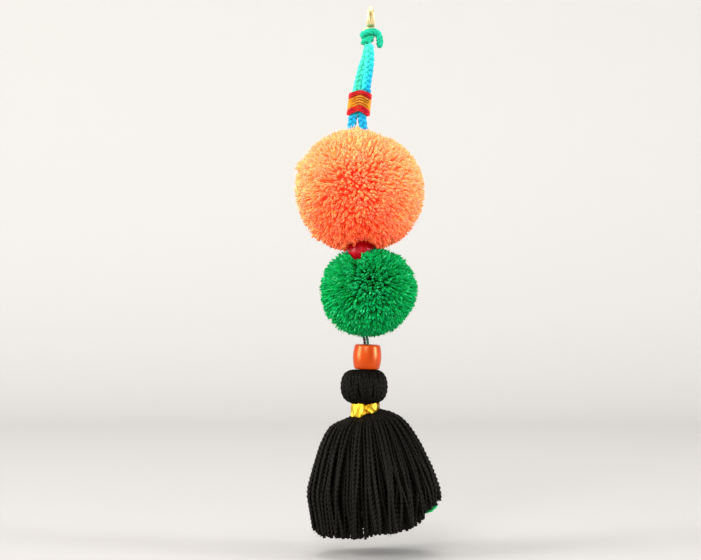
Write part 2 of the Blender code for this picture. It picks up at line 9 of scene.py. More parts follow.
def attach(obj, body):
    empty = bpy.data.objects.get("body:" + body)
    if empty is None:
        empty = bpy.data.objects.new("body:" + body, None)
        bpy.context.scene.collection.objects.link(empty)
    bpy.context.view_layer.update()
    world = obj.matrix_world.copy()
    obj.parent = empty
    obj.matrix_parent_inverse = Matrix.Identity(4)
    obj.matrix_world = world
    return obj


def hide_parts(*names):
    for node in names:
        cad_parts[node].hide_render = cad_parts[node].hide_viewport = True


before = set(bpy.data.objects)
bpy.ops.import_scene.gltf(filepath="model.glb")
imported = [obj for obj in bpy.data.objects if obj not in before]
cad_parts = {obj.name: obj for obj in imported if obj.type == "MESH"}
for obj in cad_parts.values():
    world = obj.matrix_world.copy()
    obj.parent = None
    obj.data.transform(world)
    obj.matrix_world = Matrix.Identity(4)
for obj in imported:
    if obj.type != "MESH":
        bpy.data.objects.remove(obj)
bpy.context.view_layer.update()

fullTurn = 2 * math.pi
toneName = "yarnTone"    # per point: along the yarn, by chance per yarn, patch (on the pompoms, painted light and shade with a random mottle)


# Camera and light

view = {
    "centre": (-0.01045, -0.1407),    # x and z at the middle of the picture
    "distance": 0.90,
    "width": 0.3645,                  # seen across, at the charm
    "sensor": 36.0,
}

light = {
    "world": ((0.93, 0.95, 1.0), 0.50),
    "soft": (
        # name, place, size across and up, watts, colour
        ("keyLamp", (-2.00, -0.68, 0.40), (0.90, 1.40), 63.0, (1.0, 0.97, 0.93)),
        ("fillLamp", (2.00, -0.66, 0.05), (0.60, 1.30), 69.0, (0.96, 0.98, 1.0)),
        ("frontLamp", (-0.55, -2.30, 1.10), (1.30, 0.90), 46.0, (1.0, 0.98, 0.96)),
        ("topLamp", (-0.10, 0.00, 1.60), (1.50, 1.10), 26.0, (1.0, 0.98, 0.95)),
    ),
    "aim": (-0.004, 0.0, -0.14),
}

floorLook = {
    "height": -0.2835,
    "front": -5.0,
    "back": 1.3,
    "rise": 1.7,
    "bend": 0.5,
    "halfWidth": 6.0,
    "colour": (0.42, 0.41, 0.395),
}


def addCamera():
    lens = view["sensor"] * view["distance"] / view["width"]
    data = bpy.data.cameras.new("camera")
    data.sensor_width = view["sensor"]
    data.lens = lens
    camera = bpy.data.objects.new("camera", data)
    camera.location = (view["centre"][0], -view["distance"], view["centre"][1])
    camera.rotation_euler = (math.radians(90), 0, 0)
    bpy.context.scene.collection.objects.link(camera)
    bpy.context.scene.camera = camera


def addLights():
    for name, place, size, watts, colour in light["soft"]:
        data = bpy.data.lights.new(name, "AREA")
        data.shape = "RECTANGLE"
        data.size, data.size_y = size
        data.energy = watts
        data.color = colour
        lamp = bpy.data.objects.new(name, data)
        lamp.location = place
        aim = Vector(light["aim"]) - Vector(place)
        lamp.rotation_euler = aim.to_track_quat("-Z", "Y").to_euler()
        bpy.context.scene.collection.objects.link(lamp)
    world = bpy.data.worlds.new("world")
    world.use_nodes = True
    back = world.node_tree.nodes["Background"]
    back.inputs["Color"].default_value = (*light["world"][0], 1)
    back.inputs["Strength"].default_value = light["world"][1]
    bpy.context.scene.world = world


# Node helpers

class Nodes:
    def __init__(self, name):
        self.material = bpy.data.materials.new(name)
        self.material.use_nodes = True
        self.tree = self.material.node_tree
        self.shader = self.tree.nodes["Principled BSDF"]

    def add(self, kind, **values):
        node = self.tree.nodes.new(kind)
        for key, value in values.items():
            setattr(node, key, value)
        return node

    def link(self, source, target):
        self.tree.links.new(source, target)

    def objectPlace(self):
        return self.add("ShaderNodeTexCoord").outputs["Object"]

    def noise(self, scale, detail=2.0, place=None):
        node = self.add("ShaderNodeTexNoise")
        node.inputs["Scale"].default_value = scale
        node.inputs["Detail"].default_value = detail
        self.link(place or self.objectPlace(), node.inputs["Vector"])
        return node.outputs["Fac"]

    def ramp(self, value, stops):
        node = self.add("ShaderNodeValToRGB")
        marks = node.color_ramp.elements
        while len(marks) < len(stops):
            marks.new(0.5)
        for mark, (place, colour) in zip(marks, stops):
            mark.position = place
            mark.color = (*colour, 1) if len(colour) == 3 else colour
        self.link(value, node.inputs["Fac"])
        return node.outputs["Color"]

    def spread(self, value, low, high, start=0.0, end=1.0):
        node = self.add("ShaderNodeMapRange")
        for key, number in (("From Min", start), ("From Max", end),
                            ("To Min", low), ("To Max", high)):
            node.inputs[key].default_value = number
        self.link(value, node.inputs["Value"])
        return node.outputs["Result"]

    def vary(self, noise, low, high):
        return self.spread(noise, low, high, 0.3, 0.7)    # most of a noise lies between these

    def mix(self, kind, share, first, second):
        node = self.add("ShaderNodeMix", data_type="RGBA", blend_type=kind)
        self.put(share, node.inputs["Factor"])
        self.put(first, node.inputs[6])     # the colour sockets of the mix
        self.put(second, node.inputs[7])
        return node.outputs[2]

    def put(self, value, target):
        if isinstance(value, bpy.types.NodeSocket):
            self.link(value, target)
        elif isinstance(value, tuple):
            full = len(target.default_value) == 4
            target.default_value = (*value, 1) if full and len(value) == 3 else value
        else:
            target.default_value = value

    def shade(self, colour, hue, strength, value):
        node = self.add("ShaderNodeHueSaturation")
        self.put(hue, node.inputs["Hue"])
        self.put(strength, node.inputs["Saturation"])
        self.put(value, node.inputs["Value"])
        self.link(colour, node.inputs["Color"])
        return node.outputs["Color"]

    def math(self, kind, first, second=0.0):
        node = self.add("ShaderNodeMath", operation=kind)
        self.put(first, node.inputs[0])
        self.put(second, node.inputs[1])
        return node.outputs["Value"]

    def bump(self, height, strength, distance):
        node = self.add("ShaderNodeBump")
        node.inputs["Strength"].default_value = strength
        node.inputs["Distance"].default_value = distance
        self.link(height, node.inputs["Height"])
        self.link(node.outputs["Normal"], self.shader.inputs["Normal"])

    def set(self, **values):
        for key, value in values.items():
            self.put(value, self.shader.inputs[key.replace("_", " ")])
        return self.material


def yarnMaterial(name, look):
    n = Nodes(name)
    tone = n.add("ShaderNodeAttribute", attribute_type="GEOMETRY", attribute_name=toneName)
    parts = n.add("ShaderNodeSeparateColor")
    n.link(tone.outputs["Color"], parts.inputs["Color"])
    along, chance, patch = parts.outputs[0], parts.outputs[1], parts.outputs[2]
    colour = n.ramp(along, look["stops"])
    # painted shade: where the patch is low, the darker, redder colours of the foot
    if "lowStops" in look:
        colour = n.mix("MIX", patch, n.ramp(along, look["lowStops"]), colour)
    # paler tips on yarns picked by chance: a random tone on the orange yarn, painted highlights on the
    # green
    if "pale" in look:
        start, strength, tint = look["pale"]    # the share of yarns left, how much, colour
        tip = n.spread(along, 0.0, strength, 0.80, 0.95)
        share = n.math("MULTIPLY", n.spread(chance, 0.0, 1.0, start, 1.0), tip)
        colour = n.mix("MIX", share, colour, tint)
    fibre = n.noise(look.get("fibreScale", 2200.0), 3.0)
    cloud = n.noise(look.get("cloudScale", 190.0), 2.0)
    mottle = look.get("mottle", 1.0)
    value = n.math("ADD", n.spread(chance, *look["value"]),
                   n.vary(fibre, -0.16 * mottle, 0.16 * mottle))
    value = n.math("ADD", value, n.vary(cloud, -0.10 * mottle, 0.10 * mottle))
    hue = n.vary(cloud, 0.5 - look["hue"], 0.5 + look["hue"])
    colour = n.shade(colour, hue, look.get("saturation", 1.0), value)
    n.link(colour, n.shader.inputs["Base Color"])
    n.bump(fibre, look.get("bump", 0.5), 0.00012)
    sheen, sheenTint = look["sheen"]
    # painted light: an optional glow (emission) that brightens shaded gaps
    paintedGlowTint, paintedGlow = look.get("paintedGlow", ((1, 1, 1), 0))
    return n.set(Roughness=look.get("roughness", 0.85), Specular_IOR_Level=look.get("gloss", 0.25),
                 Specular_Tint=look.get("glossTint", (1.0, 1.0, 1.0)),
                 Sheen_Weight=sheen, Sheen_Roughness=0.55, Sheen_Tint=sheenTint,
                 Subsurface_Weight=look.get("soft", 0.0),
                 Subsurface_Scale=look.get("softScale", 0.0012),
                 Subsurface_Radius=look.get("softRadius", (1.0, 1.0, 1.0)),
                 Emission_Color=paintedGlowTint, Emission_Strength=paintedGlow)


def finishPiece(thing, body, replaced, material):
    thing.data.materials.clear()
    thing.data.materials.append(material)
    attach(thing, body)
    if replaced:
        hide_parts(*replaced)


def thingFromBmesh(name, bm, smooth=False):
    mesh = bpy.data.meshes.new(name)
    bm.to_mesh(mesh)
    bm.free()
    if smooth:
        mesh.polygons.foreach_set("use_smooth", [True] * len(mesh.polygons))
    thing = bpy.data.objects.new(name, mesh)
    bpy.context.scene.collection.objects.link(thing)
    return thing


# Many yarns in one mesh, from arrays

def meshFromArrays(name, points, faceSizes, corners, tones):
    mesh = bpy.data.meshes.new(name)
    mesh.vertices.add(len(points))
    mesh.vertices.foreach_set("co", points.astype(np.float32).ravel())
    mesh.loops.add(len(corners))
    mesh.loops.foreach_set("vertex_index", corners.astype(np.int32))
    mesh.polygons.add(len(faceSizes))
    starts = np.concatenate(([0], np.cumsum(faceSizes)[:-1]))
    mesh.polygons.foreach_set("loop_start", starts.astype(np.int32))
    mesh.update(calc_edges=True)
    mesh.polygons.foreach_set("use_smooth", np.ones(len(faceSizes), bool))
    layer = mesh.attributes.new(toneName, "FLOAT_COLOR", "POINT")
    shade = np.ones((len(points), 4), np.float32)
    shade[:, :3] = tones
    layer.data.foreach_set("color", shade.ravel())
    thing = bpy.data.objects.new(name, mesh)
    bpy.context.scene.collection.objects.link(thing)
    return thing


def unit(vectors):
    length = np.linalg.norm(vectors, axis=-1, keepdims=True)
    return vectors / np.maximum(length, 1e-9)


def pathFrames(paths):
    ahead = unit(np.gradient(paths, axis=1))
    across = np.empty_like(paths)
    guide = np.where(np.abs(ahead[:, :1, 2:]) < 0.8, (0.0, 0.0, 1.0), (1.0, 0.0, 0.0))[:, 0]
    across[:, 0] = unit(np.cross(ahead[:, 0], guide))
    for i in range(1, paths.shape[1]):
        last = across[:, i - 1]
        drop = np.sum(last * ahead[:, i], axis=-1, keepdims=True)
        across[:, i] = unit(last - ahead[:, i] * drop)
    return ahead, across, np.cross(ahead, across)


def yarnArrays(paths, radii, sides, chance, patch=0.0, twist=None, lobes=0, lobeDepth=0.0,
               alongRange=(0.0, 1.0)):
    count, steps = paths.shape[:2]
    ahead, across, beside = pathFrames(paths)
    angles = fullTurn * np.arange(sides) / sides
    size = 1 + lobeDepth * np.cos(lobes * angles)
    turned = angles[None, None, :] + (0 if twist is None else twist[:, :, None])
    ring = radii[:, :, None] * size[None, None, :]
    points = (paths[:, :, None, :]
              + across[:, :, None, :] * (ring * np.cos(turned))[..., None]
              + beside[:, :, None, :] * (ring * np.sin(turned))[..., None])
    base = np.arange(count)[:, None, None] * steps * sides
    row = np.arange(steps - 1)[None, :, None] * sides
    here = np.arange(sides)[None, None, :]
    near = (here + 1) % sides
    quads = np.stack([base + row + here, base + row + near,
                      base + row + sides + near, base + row + sides + here], axis=-1)
    foot = base[:, 0] + np.arange(sides)[None, ::-1]
    top = base[:, 0] + (steps - 1) * sides + np.arange(sides)[None, :]
    corners = np.concatenate([quads.ravel(), foot.ravel(), top.ravel()])
    faceSizes = np.concatenate([np.full(quads.size // 4, 4), np.full(2 * count, sides)])
    if len(alongRange) == 2:
        alongRange = np.linspace(*alongRange, steps)
    along = np.asarray(alongRange)[None, :, None]
    tones = np.empty((count, steps, sides, 3))
    tones[..., 0] = along
    tones[..., 1] = np.reshape(chance, (count, 1, 1))
    tones[..., 2] = np.reshape(patch, (count, 1, 1)) if np.ndim(patch) else patch
    return points.reshape(-1, 3), faceSizes, corners, tones.reshape(-1, 3)


def joinArrays(parts):
    points, sizes, corners, tones = [], [], [], []
    offset = 0
    for part in parts:
        points.append(part[0])
        sizes.append(part[1])
        corners.append(part[2] + offset)
        tones.append(part[3])
        offset += len(part[0])
    return tuple(np.concatenate(group) for group in (points, sizes, corners, tones))


def ballArrays(centre, halves, across, rows, tone):
    bm = bmesh.new()
    bmesh.ops.create_uvsphere(bm, u_segments=across, v_segments=rows, radius=1.0)
    points = np.array([tuple(vert.co) for vert in bm.verts]) * np.array(halves) + np.array(centre)
    bm.verts.index_update()
    sizes = np.array([len(face.verts) for face in bm.faces])
    corners = np.array([vert.index for face in bm.faces for vert in face.verts])
    bm.free()
    return points, sizes, corners, np.tile(np.array(tone), (len(points), 1))


def evenDirections(count, rng, wander):
    order = np.arange(count) + 0.5
    height = 1 - 2 * order / count
    flat = np.sqrt(1 - height ** 2)
    angle = order * math.pi * (3 - math.sqrt(5))
    found = np.stack([flat * np.cos(angle), flat * np.sin(angle), height], axis=-1)
    return unit(found + rng.normal(0, wander, found.shape))


def waveField(places, rng, waves, scale):
    total = np.zeros_like(places)
    for _ in range(waves):
        way = rng.normal(0, scale, 3)
        push = rng.normal(0, 1, 3)
        total += np.sin(places @ way + rng.uniform(0, fullTurn))[:, None] * push
    return total / math.sqrt(waves)


# Beads, first because the pompoms give way to the red one

beadRedLook = {
    "centre": (-0.0049, 0.0, -0.1251), "radius": 0.0070, "half": 0.0069, "end": 74.0,
    "bore": 0.0018, "steps": 44,
    # deep and light colour, scale of the grain, colour of the gloss, roughness
    "lacquer": ((0.47, 0.0004, 0.006), (0.56, 0.001, 0.012), 260.0, (1.0, 0.42, 0.50),
                (0.30, 0.33)),
}

beadOrangeLook = {
    "centre": (-0.0018, 0.0, -0.1806), "radius": 0.00745, "half": 0.0064, "lean": 2.0,
    "bore": 0.0018,
    "lacquer": ((0.38, 0.028, 0.0), (0.48, 0.045, 0.0), 240.0, (1.0, 0.54, 0.20), (0.29, 0.32)),
    # share of the radius, share of the half height
    "profile": ((0.70, -1.0), (0.80, -0.995), (0.855, -0.97), (0.885, -0.92), (0.915, -0.80),
                (0.955, -0.55), (0.985, -0.28), (1.0, 0.0), (0.985, 0.28), (0.955, 0.55),
                (0.915, 0.80), (0.885, 0.92), (0.855, 0.97), (0.80, 0.995), (0.70, 1.0)),
}


def spinBead(name, outline, bore, turns=96):
    bm = bmesh.new()
    inner = [(bore, outline[-1][1] * 0.98), (bore, outline[0][1] * 0.98)]
    points = [bm.verts.new((radius, 0, height)) for radius, height in (*outline, *inner)]
    edges = [bm.edges.new((a, b)) for a, b in zip(points, points[1:] + points[:1])]
    bmesh.ops.spin(bm, geom=points + edges, cent=(0, 0, 0), axis=(0, 0, 1), angle=fullTurn,
                   steps=turns, use_merge=True)
    bmesh.ops.recalc_face_normals(bm, faces=bm.faces)
    return thingFromBmesh(name, bm, smooth=True)


def lacquer(name, deep, light, grainScale, tint, rough):
    n = Nodes(name)
    place = n.objectPlace()
    stretch = n.add("ShaderNodeMapping")
    stretch.inputs["Scale"].default_value = (1.0, 1.0, 0.16)
    n.link(place, stretch.inputs["Vector"])
    grain = n.noise(grainScale, 4.0, stretch.outputs["Vector"])
    cloud = n.noise(160.0, 2.0)
    colour = n.mix("MIX", n.spread(grain, 0.0, 1.0, 0.35, 0.65), deep, light)
    colour = n.shade(colour, 0.5, 1.0, n.vary(cloud, 0.88, 1.10))
    n.link(colour, n.shader.inputs["Base Color"])
    n.bump(cloud, 0.03, 0.0003)
    return n.set(Roughness=n.vary(grain, *rough), Specular_IOR_Level=0.8,
                 Specular_Tint=tint)


def makeBeads():
    look = beadRedLook
    end = math.radians(look["end"])
    outline = []
    for i in range(look["steps"] + 1):
        angle = end * (2 * i / look["steps"] - 1)
        outline.append((look["radius"] * math.cos(angle),
                        look["half"] * math.sin(angle) / math.sin(end)))
    red = spinBead("beadRed", outline, look["bore"])
    red.data.transform(Matrix.Translation(look["centre"]))
    finishPiece(red, "root", ["bead_red"], lacquer("redLacquer", *look["lacquer"]))
    look = beadOrangeLook
    outline = [(look["radius"] * across, look["half"] * up) for across, up in look["profile"]]
    orange = spinBead("beadOrange", outline, look["bore"])
    lean = Matrix.Rotation(math.radians(look["lean"]), 4, "Y")
    orange.data.transform(Matrix.Translation(look["centre"]) @ lean)
    finishPiece(orange, "root", ["bead_orange"],
                lacquer("orangeLacquer", *look["lacquer"]))
    print("beads made")


# Pompoms

upperLook = {
    "centre": (-0.0057, 0.0, -0.0939), "halves": (0.0337, 0.0335, 0.0327),
    "heart": (-0.0080, 0.0, -0.0910),    # where the yarn ends spring from
    "count": 6900, "sides": 4, "seed": 4, "start": 0.50,
    "reach": (0.935, 1.012), "radius": (0.00056, 0.00068, 0.00066, 0.00042),
    "wander": 0.012, "clump": 0.056, "clumpScale": 10.0, "curl": 0.050, "bend": 0.0011,
    "core": 0.87, "coreRange": (-0.1150, -0.0600),
    # way, width and height of each swell or dip in the outline
    "swells": (((0.36, 0.0, 0.93), 0.34, -0.095), ((0.82, 0.0, 0.57), 0.30, -0.040),
               ((-0.12, 0.0, 0.99), 0.18, -0.020), ((-0.66, 0.0, -0.75), 0.30, 0.022),
               ((0.72, 0.0, -0.70), 0.35, 0.015), ((-0.98, 0.0, -0.10), 0.20, -0.012)),
    "tufts": (((-0.92, -0.15, 0.39), 0.10, 1.050), ((-0.10, -0.25, 0.96), 0.07, 1.040),
              ((0.78, -0.20, 0.60), 0.09, 1.020), ((-0.70, -0.10, -0.71), 0.10, 1.025)),
    "hairs": 5200, "hairReach": (0.97, 1.045), "hairRadius": 0.00007, "cords": True,
}

# painted light and shade along each yarn, root to tip: dark deep in the ball where shade falls, brightest
# on the sides near the tip, darker again on the cut ends so the rims of the ball look lighter than its
# middle
upperStops = (
    (0.00, (1.00, 0.045, 0.018)),
    (0.55, (1.00, 0.120, 0.040)),
    (0.84, (1.00, 0.470, 0.145)),
    (0.93, (1.00, 0.460, 0.155)),
    (0.97, (1.00, 0.350, 0.140)),
    (1.00, (1.00, 0.240, 0.120)),
)

upperLowStops = (    # towards the foot: redder, darker colours, painted shade on the lower part
    (0.00, (1.00, 0.012, 0.004)),
    (0.55, (1.00, 0.028, 0.006)),
    (0.84, (1.00, 0.110, 0.014)),
    (0.93, (1.00, 0.125, 0.020)),
    (0.97, (1.00, 0.090, 0.030)),
    (1.00, (1.00, 0.070, 0.035)),
)

lowerLook = {
    "centre": (-0.0009, 0.0, -0.1469), "halves": (0.0255, 0.0250, 0.0235),
    "heart": (0.0010, 0.0, -0.1412),
    "count": 5600, "sides": 4, "seed": 8, "start": 0.42,
    "reach": (0.91, 1.01), "radius": (0.00048, 0.00058, 0.00055, 0.00030),
    "wander": 0.018, "clump": 0.070, "clumpScale": 8.0, "curl": 0.060, "bend": 0.0009,
    "core": 0.64, "coreRange": (-0.1700, -0.1340),
    "swells": (((-0.64, 0.0, -0.77), 0.36, 0.045), ((-0.80, 0.0, 0.60), 0.36, 0.040),
               ((0.80, 0.0, -0.60), 0.26, -0.060), ((0.93, 0.0, -0.36), 0.25, -0.030),
               ((0.60, 0.0, 0.80), 0.30, 0.020), ((0.95, 0.0, 0.30), 0.14, 0.020)),
    "tufts": (((0.72, -0.10, 0.69), 0.10, 1.030), ((-0.62, -0.10, 0.78), 0.12, 1.025),
              ((0.92, -0.10, -0.38), 0.09, 1.020)),
    "hairs": 4400, "hairReach": (0.95, 1.04), "hairRadius": 0.00007, "cords": False,
}

# the same painted light and shade along each green yarn
lowerStops = (
    (0.00, (0.000, 0.014, 0.003)),
    (0.55, (0.000, 0.090, 0.017)),
    (0.84, (0.000, 0.430, 0.080)),
    (0.93, (0.000, 0.440, 0.090)),
    (0.97, (0.000, 0.250, 0.058)),
    (1.00, (0.002, 0.230, 0.062)),
)


# the dye is a fluorescent one; its faint glow (emission) is painted light that lifts the shaded gaps
# between the yarn ends
orangeYarnLook = {
    "stops": upperStops, "lowStops": upperLowStops, "value": (0.92, 1.04), "hue": 0.008,
    "bump": 0.4, "mottle": 0.35, "sheen": (0.35, (1.0, 0.72, 0.35)), "gloss": 0.1,
    "soft": 0.5, "softRadius": (1.0, 0.40, 0.20), "softScale": 0.0012,
    "pale": (0.75, 0.20, (1.0, 0.30, 0.20)), "paintedGlow": ((1.0, 0.060, 0.030), 0.12),
}

greenYarnLook = {
    "stops": lowerStops, "value": (0.70, 1.22), "hue": 0.008, "bump": 0.5,
    "sheen": (0.12, (0.10, 1.0, 0.42)), "gloss": 0.10, "glossTint": (0.45, 1.0, 0.65),
    # pale: paler mint tips on some yarns, painted highlights
    "pale": (0.80, 0.6, (0.045, 0.44, 0.18)),
}

pompomYarn = {
    # where the stations of a yarn and of a hair lie in the colours, from root to tip
    "places": (0.10, 0.60, 0.93, 1.0), "hairPlaces": (0.60, 0.90, 0.95),
    "hairTaper": (1.0, 0.9, 0.4), "lastStation": 0.93, "bendPlace": 0.6,
    "uneven": (0.8, 1.2),                      # share of the radius, by chance
    "clumpWaves": 24, "mottle": (0.14, 12, 4.0),
    # the core ball takes a dark colour from deep in the ramp: painted shade inside the ball
    "coreFaces": (48, 32), "coreTone": (0.35, 0.3, 0.5),
    "beadWay": 0.0074, "cordWay": 0.0022,      # kept clear round the red bead and each braid
    "cordsAt": (-0.0100, -0.0037), "cordsFoot": -0.078,
}

# painted light and shade: share of the upper colours, 1 in the lit upper part and at the sides, 0 at the
# shaded foot, less at the front and back
shadePatch = {"middle": 0.80, "up": 0.78, "sides": 0.45, "front": 0.30}


def clearOfBead(points, reach):
    centre = np.array(beadRedLook["centre"])
    away = points - centre
    length = np.linalg.norm(away, axis=-1, keepdims=True)
    return np.where(length < reach, centre + away * (reach / np.maximum(length, 1e-6)), points)


def clearOfCords(points, reach):
    for x in pompomYarn["cordsAt"]:
        away = points - np.array((x, 0.0, 0.0))
        away[..., 2] = 0
        length = np.linalg.norm(away, axis=-1, keepdims=True)
        push = away * (reach / np.maximum(length, 1e-6) - 1)
        near = (length < reach) & (points[..., 2:] > pompomYarn["cordsFoot"])
        points = np.where(near, points + push, points)
    return points


def keepClear(points, look):
    points = clearOfBead(points, pompomYarn["beadWay"])
    return clearOfCords(points, pompomYarn["cordWay"]) if look["cords"] else points


def pompomPaths(look, rng, count, reachRange, steps, trim):
    ways = evenDirections(count, rng, look["wander"])
    clump = waveField(ways, rng, pompomYarn["clumpWaves"], look["clumpScale"]) * look["clump"]
    curl = rng.normal(0, look["curl"], ways.shape)
    reach = rng.uniform(*reachRange, count)
    for middle, near, longer in look["swells"]:
        apart = np.linalg.norm(ways - unit(np.array(middle)), axis=-1)
        reach = reach * (1 + longer * np.exp(-(apart / near) ** 2))
    for middle, near, longer in look["tufts"]:
        close = np.linalg.norm(ways - unit(np.array(middle)), axis=-1) < near
        reach = np.where(close, reach * longer, reach)
    surface = ways * np.array(look["halves"]) + look["centre"]
    roots = np.array(look["heart"]) * (1 - look["start"]) + surface * look["start"]
    tips = unit(ways + clump + curl) * reach[:, None]
    tips = trim(tips * look["halves"] + look["centre"], roots, rng)
    share = np.linspace(0, pompomYarn["lastStation"], steps - 1)
    share = np.concatenate([share, [1.0]])[None, :, None]
    middles = roots + (tips - roots) * pompomYarn["bendPlace"]
    middles += rng.normal(0, look["bend"], middles.shape)
    paths = ((1 - share) ** 2 * roots[:, None] + 2 * share * (1 - share) * middles[:, None]
             + share ** 2 * tips[:, None])
    return paths, ways


beadOpening = {
    "halfWidth": 0.0083,
    # x, lowest yarn end of the upper pompom in front of the bead
    "over": ((-0.0140, -0.1240), (-0.0128, -0.1215), (-0.0107, -0.1207), (-0.0086, -0.1215),
             (-0.0066, -0.1200), (-0.0034, -0.1195), (-0.0003, -0.1200), (0.0020, -0.1214),
             (0.0038, -0.1235)),
    # x, highest yarn end of the lower pompom in front of the bead
    "under": ((-0.0138, -0.1243), (-0.0124, -0.1255), (-0.0108, -0.1288), (-0.0094, -0.1306),
              (-0.0076, -0.1312), (-0.0060, -0.1304), (-0.0050, -0.1284), (-0.0022, -0.1262),
              (0.0022, -0.1246), (0.0040, -0.1237)),
    "ragged": 0.0007, "passes": 3,
    "parting": (-0.0088, -0.1335, 0.0022, 0.0036, 0.0018),    # x, z, half sizes, push
}


def beforeBead(tips):
    # counts a place in front of the bead as over or under it
    centre = beadRedLook["centre"]
    return np.hypot(tips[:, 0] - centre[0], np.maximum(tips[:, 1] - centre[1], 0.0))


def shorten(tips, roots, share):
    return roots + (tips - roots) * share[:, None]


def trimUpper(tips, roots, rng):
    table = np.array(beadOpening["over"])
    uneven = rng.normal(0, beadOpening["ragged"], len(tips))
    for _ in range(beadOpening["passes"]):
        low = np.interp(tips[:, 0], table[:, 0], table[:, 1]) + uneven
        drop = np.minimum(tips[:, 2] - roots[:, 2], -1e-6)
        share = np.clip((low - roots[:, 2]) / drop, 0.2, 1.0)
        under = (beforeBead(tips) < beadOpening["halfWidth"]) & (tips[:, 2] < low)
        tips = np.where(under[:, None], shorten(tips, roots, share), tips)
    return tips


def trimLower(tips, roots, rng):
    table = np.array(beadOpening["under"])
    uneven = rng.normal(0, beadOpening["ragged"], len(tips))
    for _ in range(beadOpening["passes"]):
        high = np.interp(tips[:, 0], table[:, 0], table[:, 1]) + uneven
        rise = np.maximum(tips[:, 2] - roots[:, 2], 1e-6)
        share = np.clip((high - roots[:, 2]) / rise, 0.2, 1.0)
        over = (beforeBead(tips) < beadOpening["halfWidth"]) & (tips[:, 2] > high)
        tips = np.where(over[:, None], shorten(tips, roots, share), tips)
    x, z, wide, tall, push = beadOpening["parting"]
    near = np.exp(-((tips[:, 2] - z) / tall) ** 2 - ((tips[:, 0] - x) / wide) ** 2)
    tips[:, 0] += np.where(tips[:, 1] < 0, np.sign(tips[:, 0] - x) * push * near, 0.0)
    return tips


# painted light and shade by the way a yarn points: lighter up and at the sides, redder at the foot and
# front
def shadePatchOf(ways):
    x, y, z = ways.T
    return (shadePatch["middle"] + shadePatch["up"] * z + shadePatch["sides"] * x ** 2
            - shadePatch["front"] * y ** 2)


def makePompom(name, look, trim, node, material):
    shared = pompomYarn
    rng = np.random.default_rng(look["seed"])
    steps = len(look["radius"])
    paths, ways = pompomPaths(look, rng, look["count"], look["reach"], steps, trim)
    paths = keepClear(paths, look)
    radii = np.array(look["radius"])[None, :] * rng.uniform(*shared["uneven"], (look["count"], 1))
    strength, waves, scale = shared["mottle"]
    # painted light and shade from the way each yarn points, with a random mottle
    patch = np.clip(shadePatchOf(ways) + strength * waveField(ways, rng, waves, scale)[:, 0], 0, 1)
    parts = [yarnArrays(paths, radii, look["sides"], rng.uniform(0, 1, look["count"]), patch,
                        alongRange=shared["places"])]
    halves = np.array(look["halves"]) * look["core"]
    core = ballArrays(look["centre"], halves, *shared["coreFaces"], shared["coreTone"])
    core[0][:, 2] = np.clip(core[0][:, 2], *look["coreRange"])
    parts.append(core)
    thing = meshFromArrays(name, *joinArrays(parts))
    finishPiece(thing, "root", [node], material)
    hairPaths, ways = pompomPaths(look, rng, look["hairs"], look["hairReach"], 4, trim)
    hairPaths = keepClear(hairPaths[:, 1:], look)
    hairRadii = np.full((look["hairs"], 3), look["hairRadius"]) * shared["hairTaper"]
    # the hairs take the same painted light and shade
    hairs = yarnArrays(hairPaths, hairRadii, 3, rng.uniform(0.4, 1, look["hairs"]),
                       np.clip(shadePatchOf(ways), 0, 1), alongRange=shared["hairPlaces"])
    fuzz = meshFromArrays(name + "Fuzz", *hairs)
    finishPiece(fuzz, "root", None, material)
    print(name, "made")


def makePompoms():
    orange = yarnMaterial("orangeYarn", orangeYarnLook)
    green = yarnMaterial("greenYarn", greenYarnLook)
    makePompom("pompomUpper", upperLook, trimUpper, "pompom_upper", orange)
    makePompom("pompomLower", lowerLook, trimLower, "pompom_lower", green)
    return green


# Tassel

skirtRows = np.array((
    # height, left edge, right edge, lift towards the right
    (-0.2085, -0.0092, 0.0036, 0.24),
    (-0.2100, -0.0100, 0.0048, 0.24),
    (-0.2112, -0.0132, 0.0095, 0.18),
    (-0.2137, -0.0176, 0.0160, 0.08),
    (-0.2166, -0.0212, 0.0195, 0.03),
    (-0.2207, -0.0238, 0.0227, 0.01),
    (-0.2273, -0.0267, 0.0268, 0.00),
    (-0.2379, -0.0300, 0.0321, 0.00),
    (-0.2487, -0.0326, 0.0361, 0.00),
    (-0.2535, -0.0328, 0.0368, 0.00),
    (-0.2755, -0.0292, 0.0375, 0.00),
))

footRows = np.array((
    # x, height of the yarn ends
    (-0.0340, -0.2690), (-0.0300, -0.2735), (-0.0280, -0.2744), (-0.0100, -0.2750),
    (-0.0040, -0.2745), (0.0010, -0.2728), (0.0120, -0.2720), (0.0180, -0.2702),
    (0.0220, -0.2692), (0.0260, -0.2660), (0.0294, -0.2605), (0.0336, -0.2578),
    (0.0370, -0.2548),
))

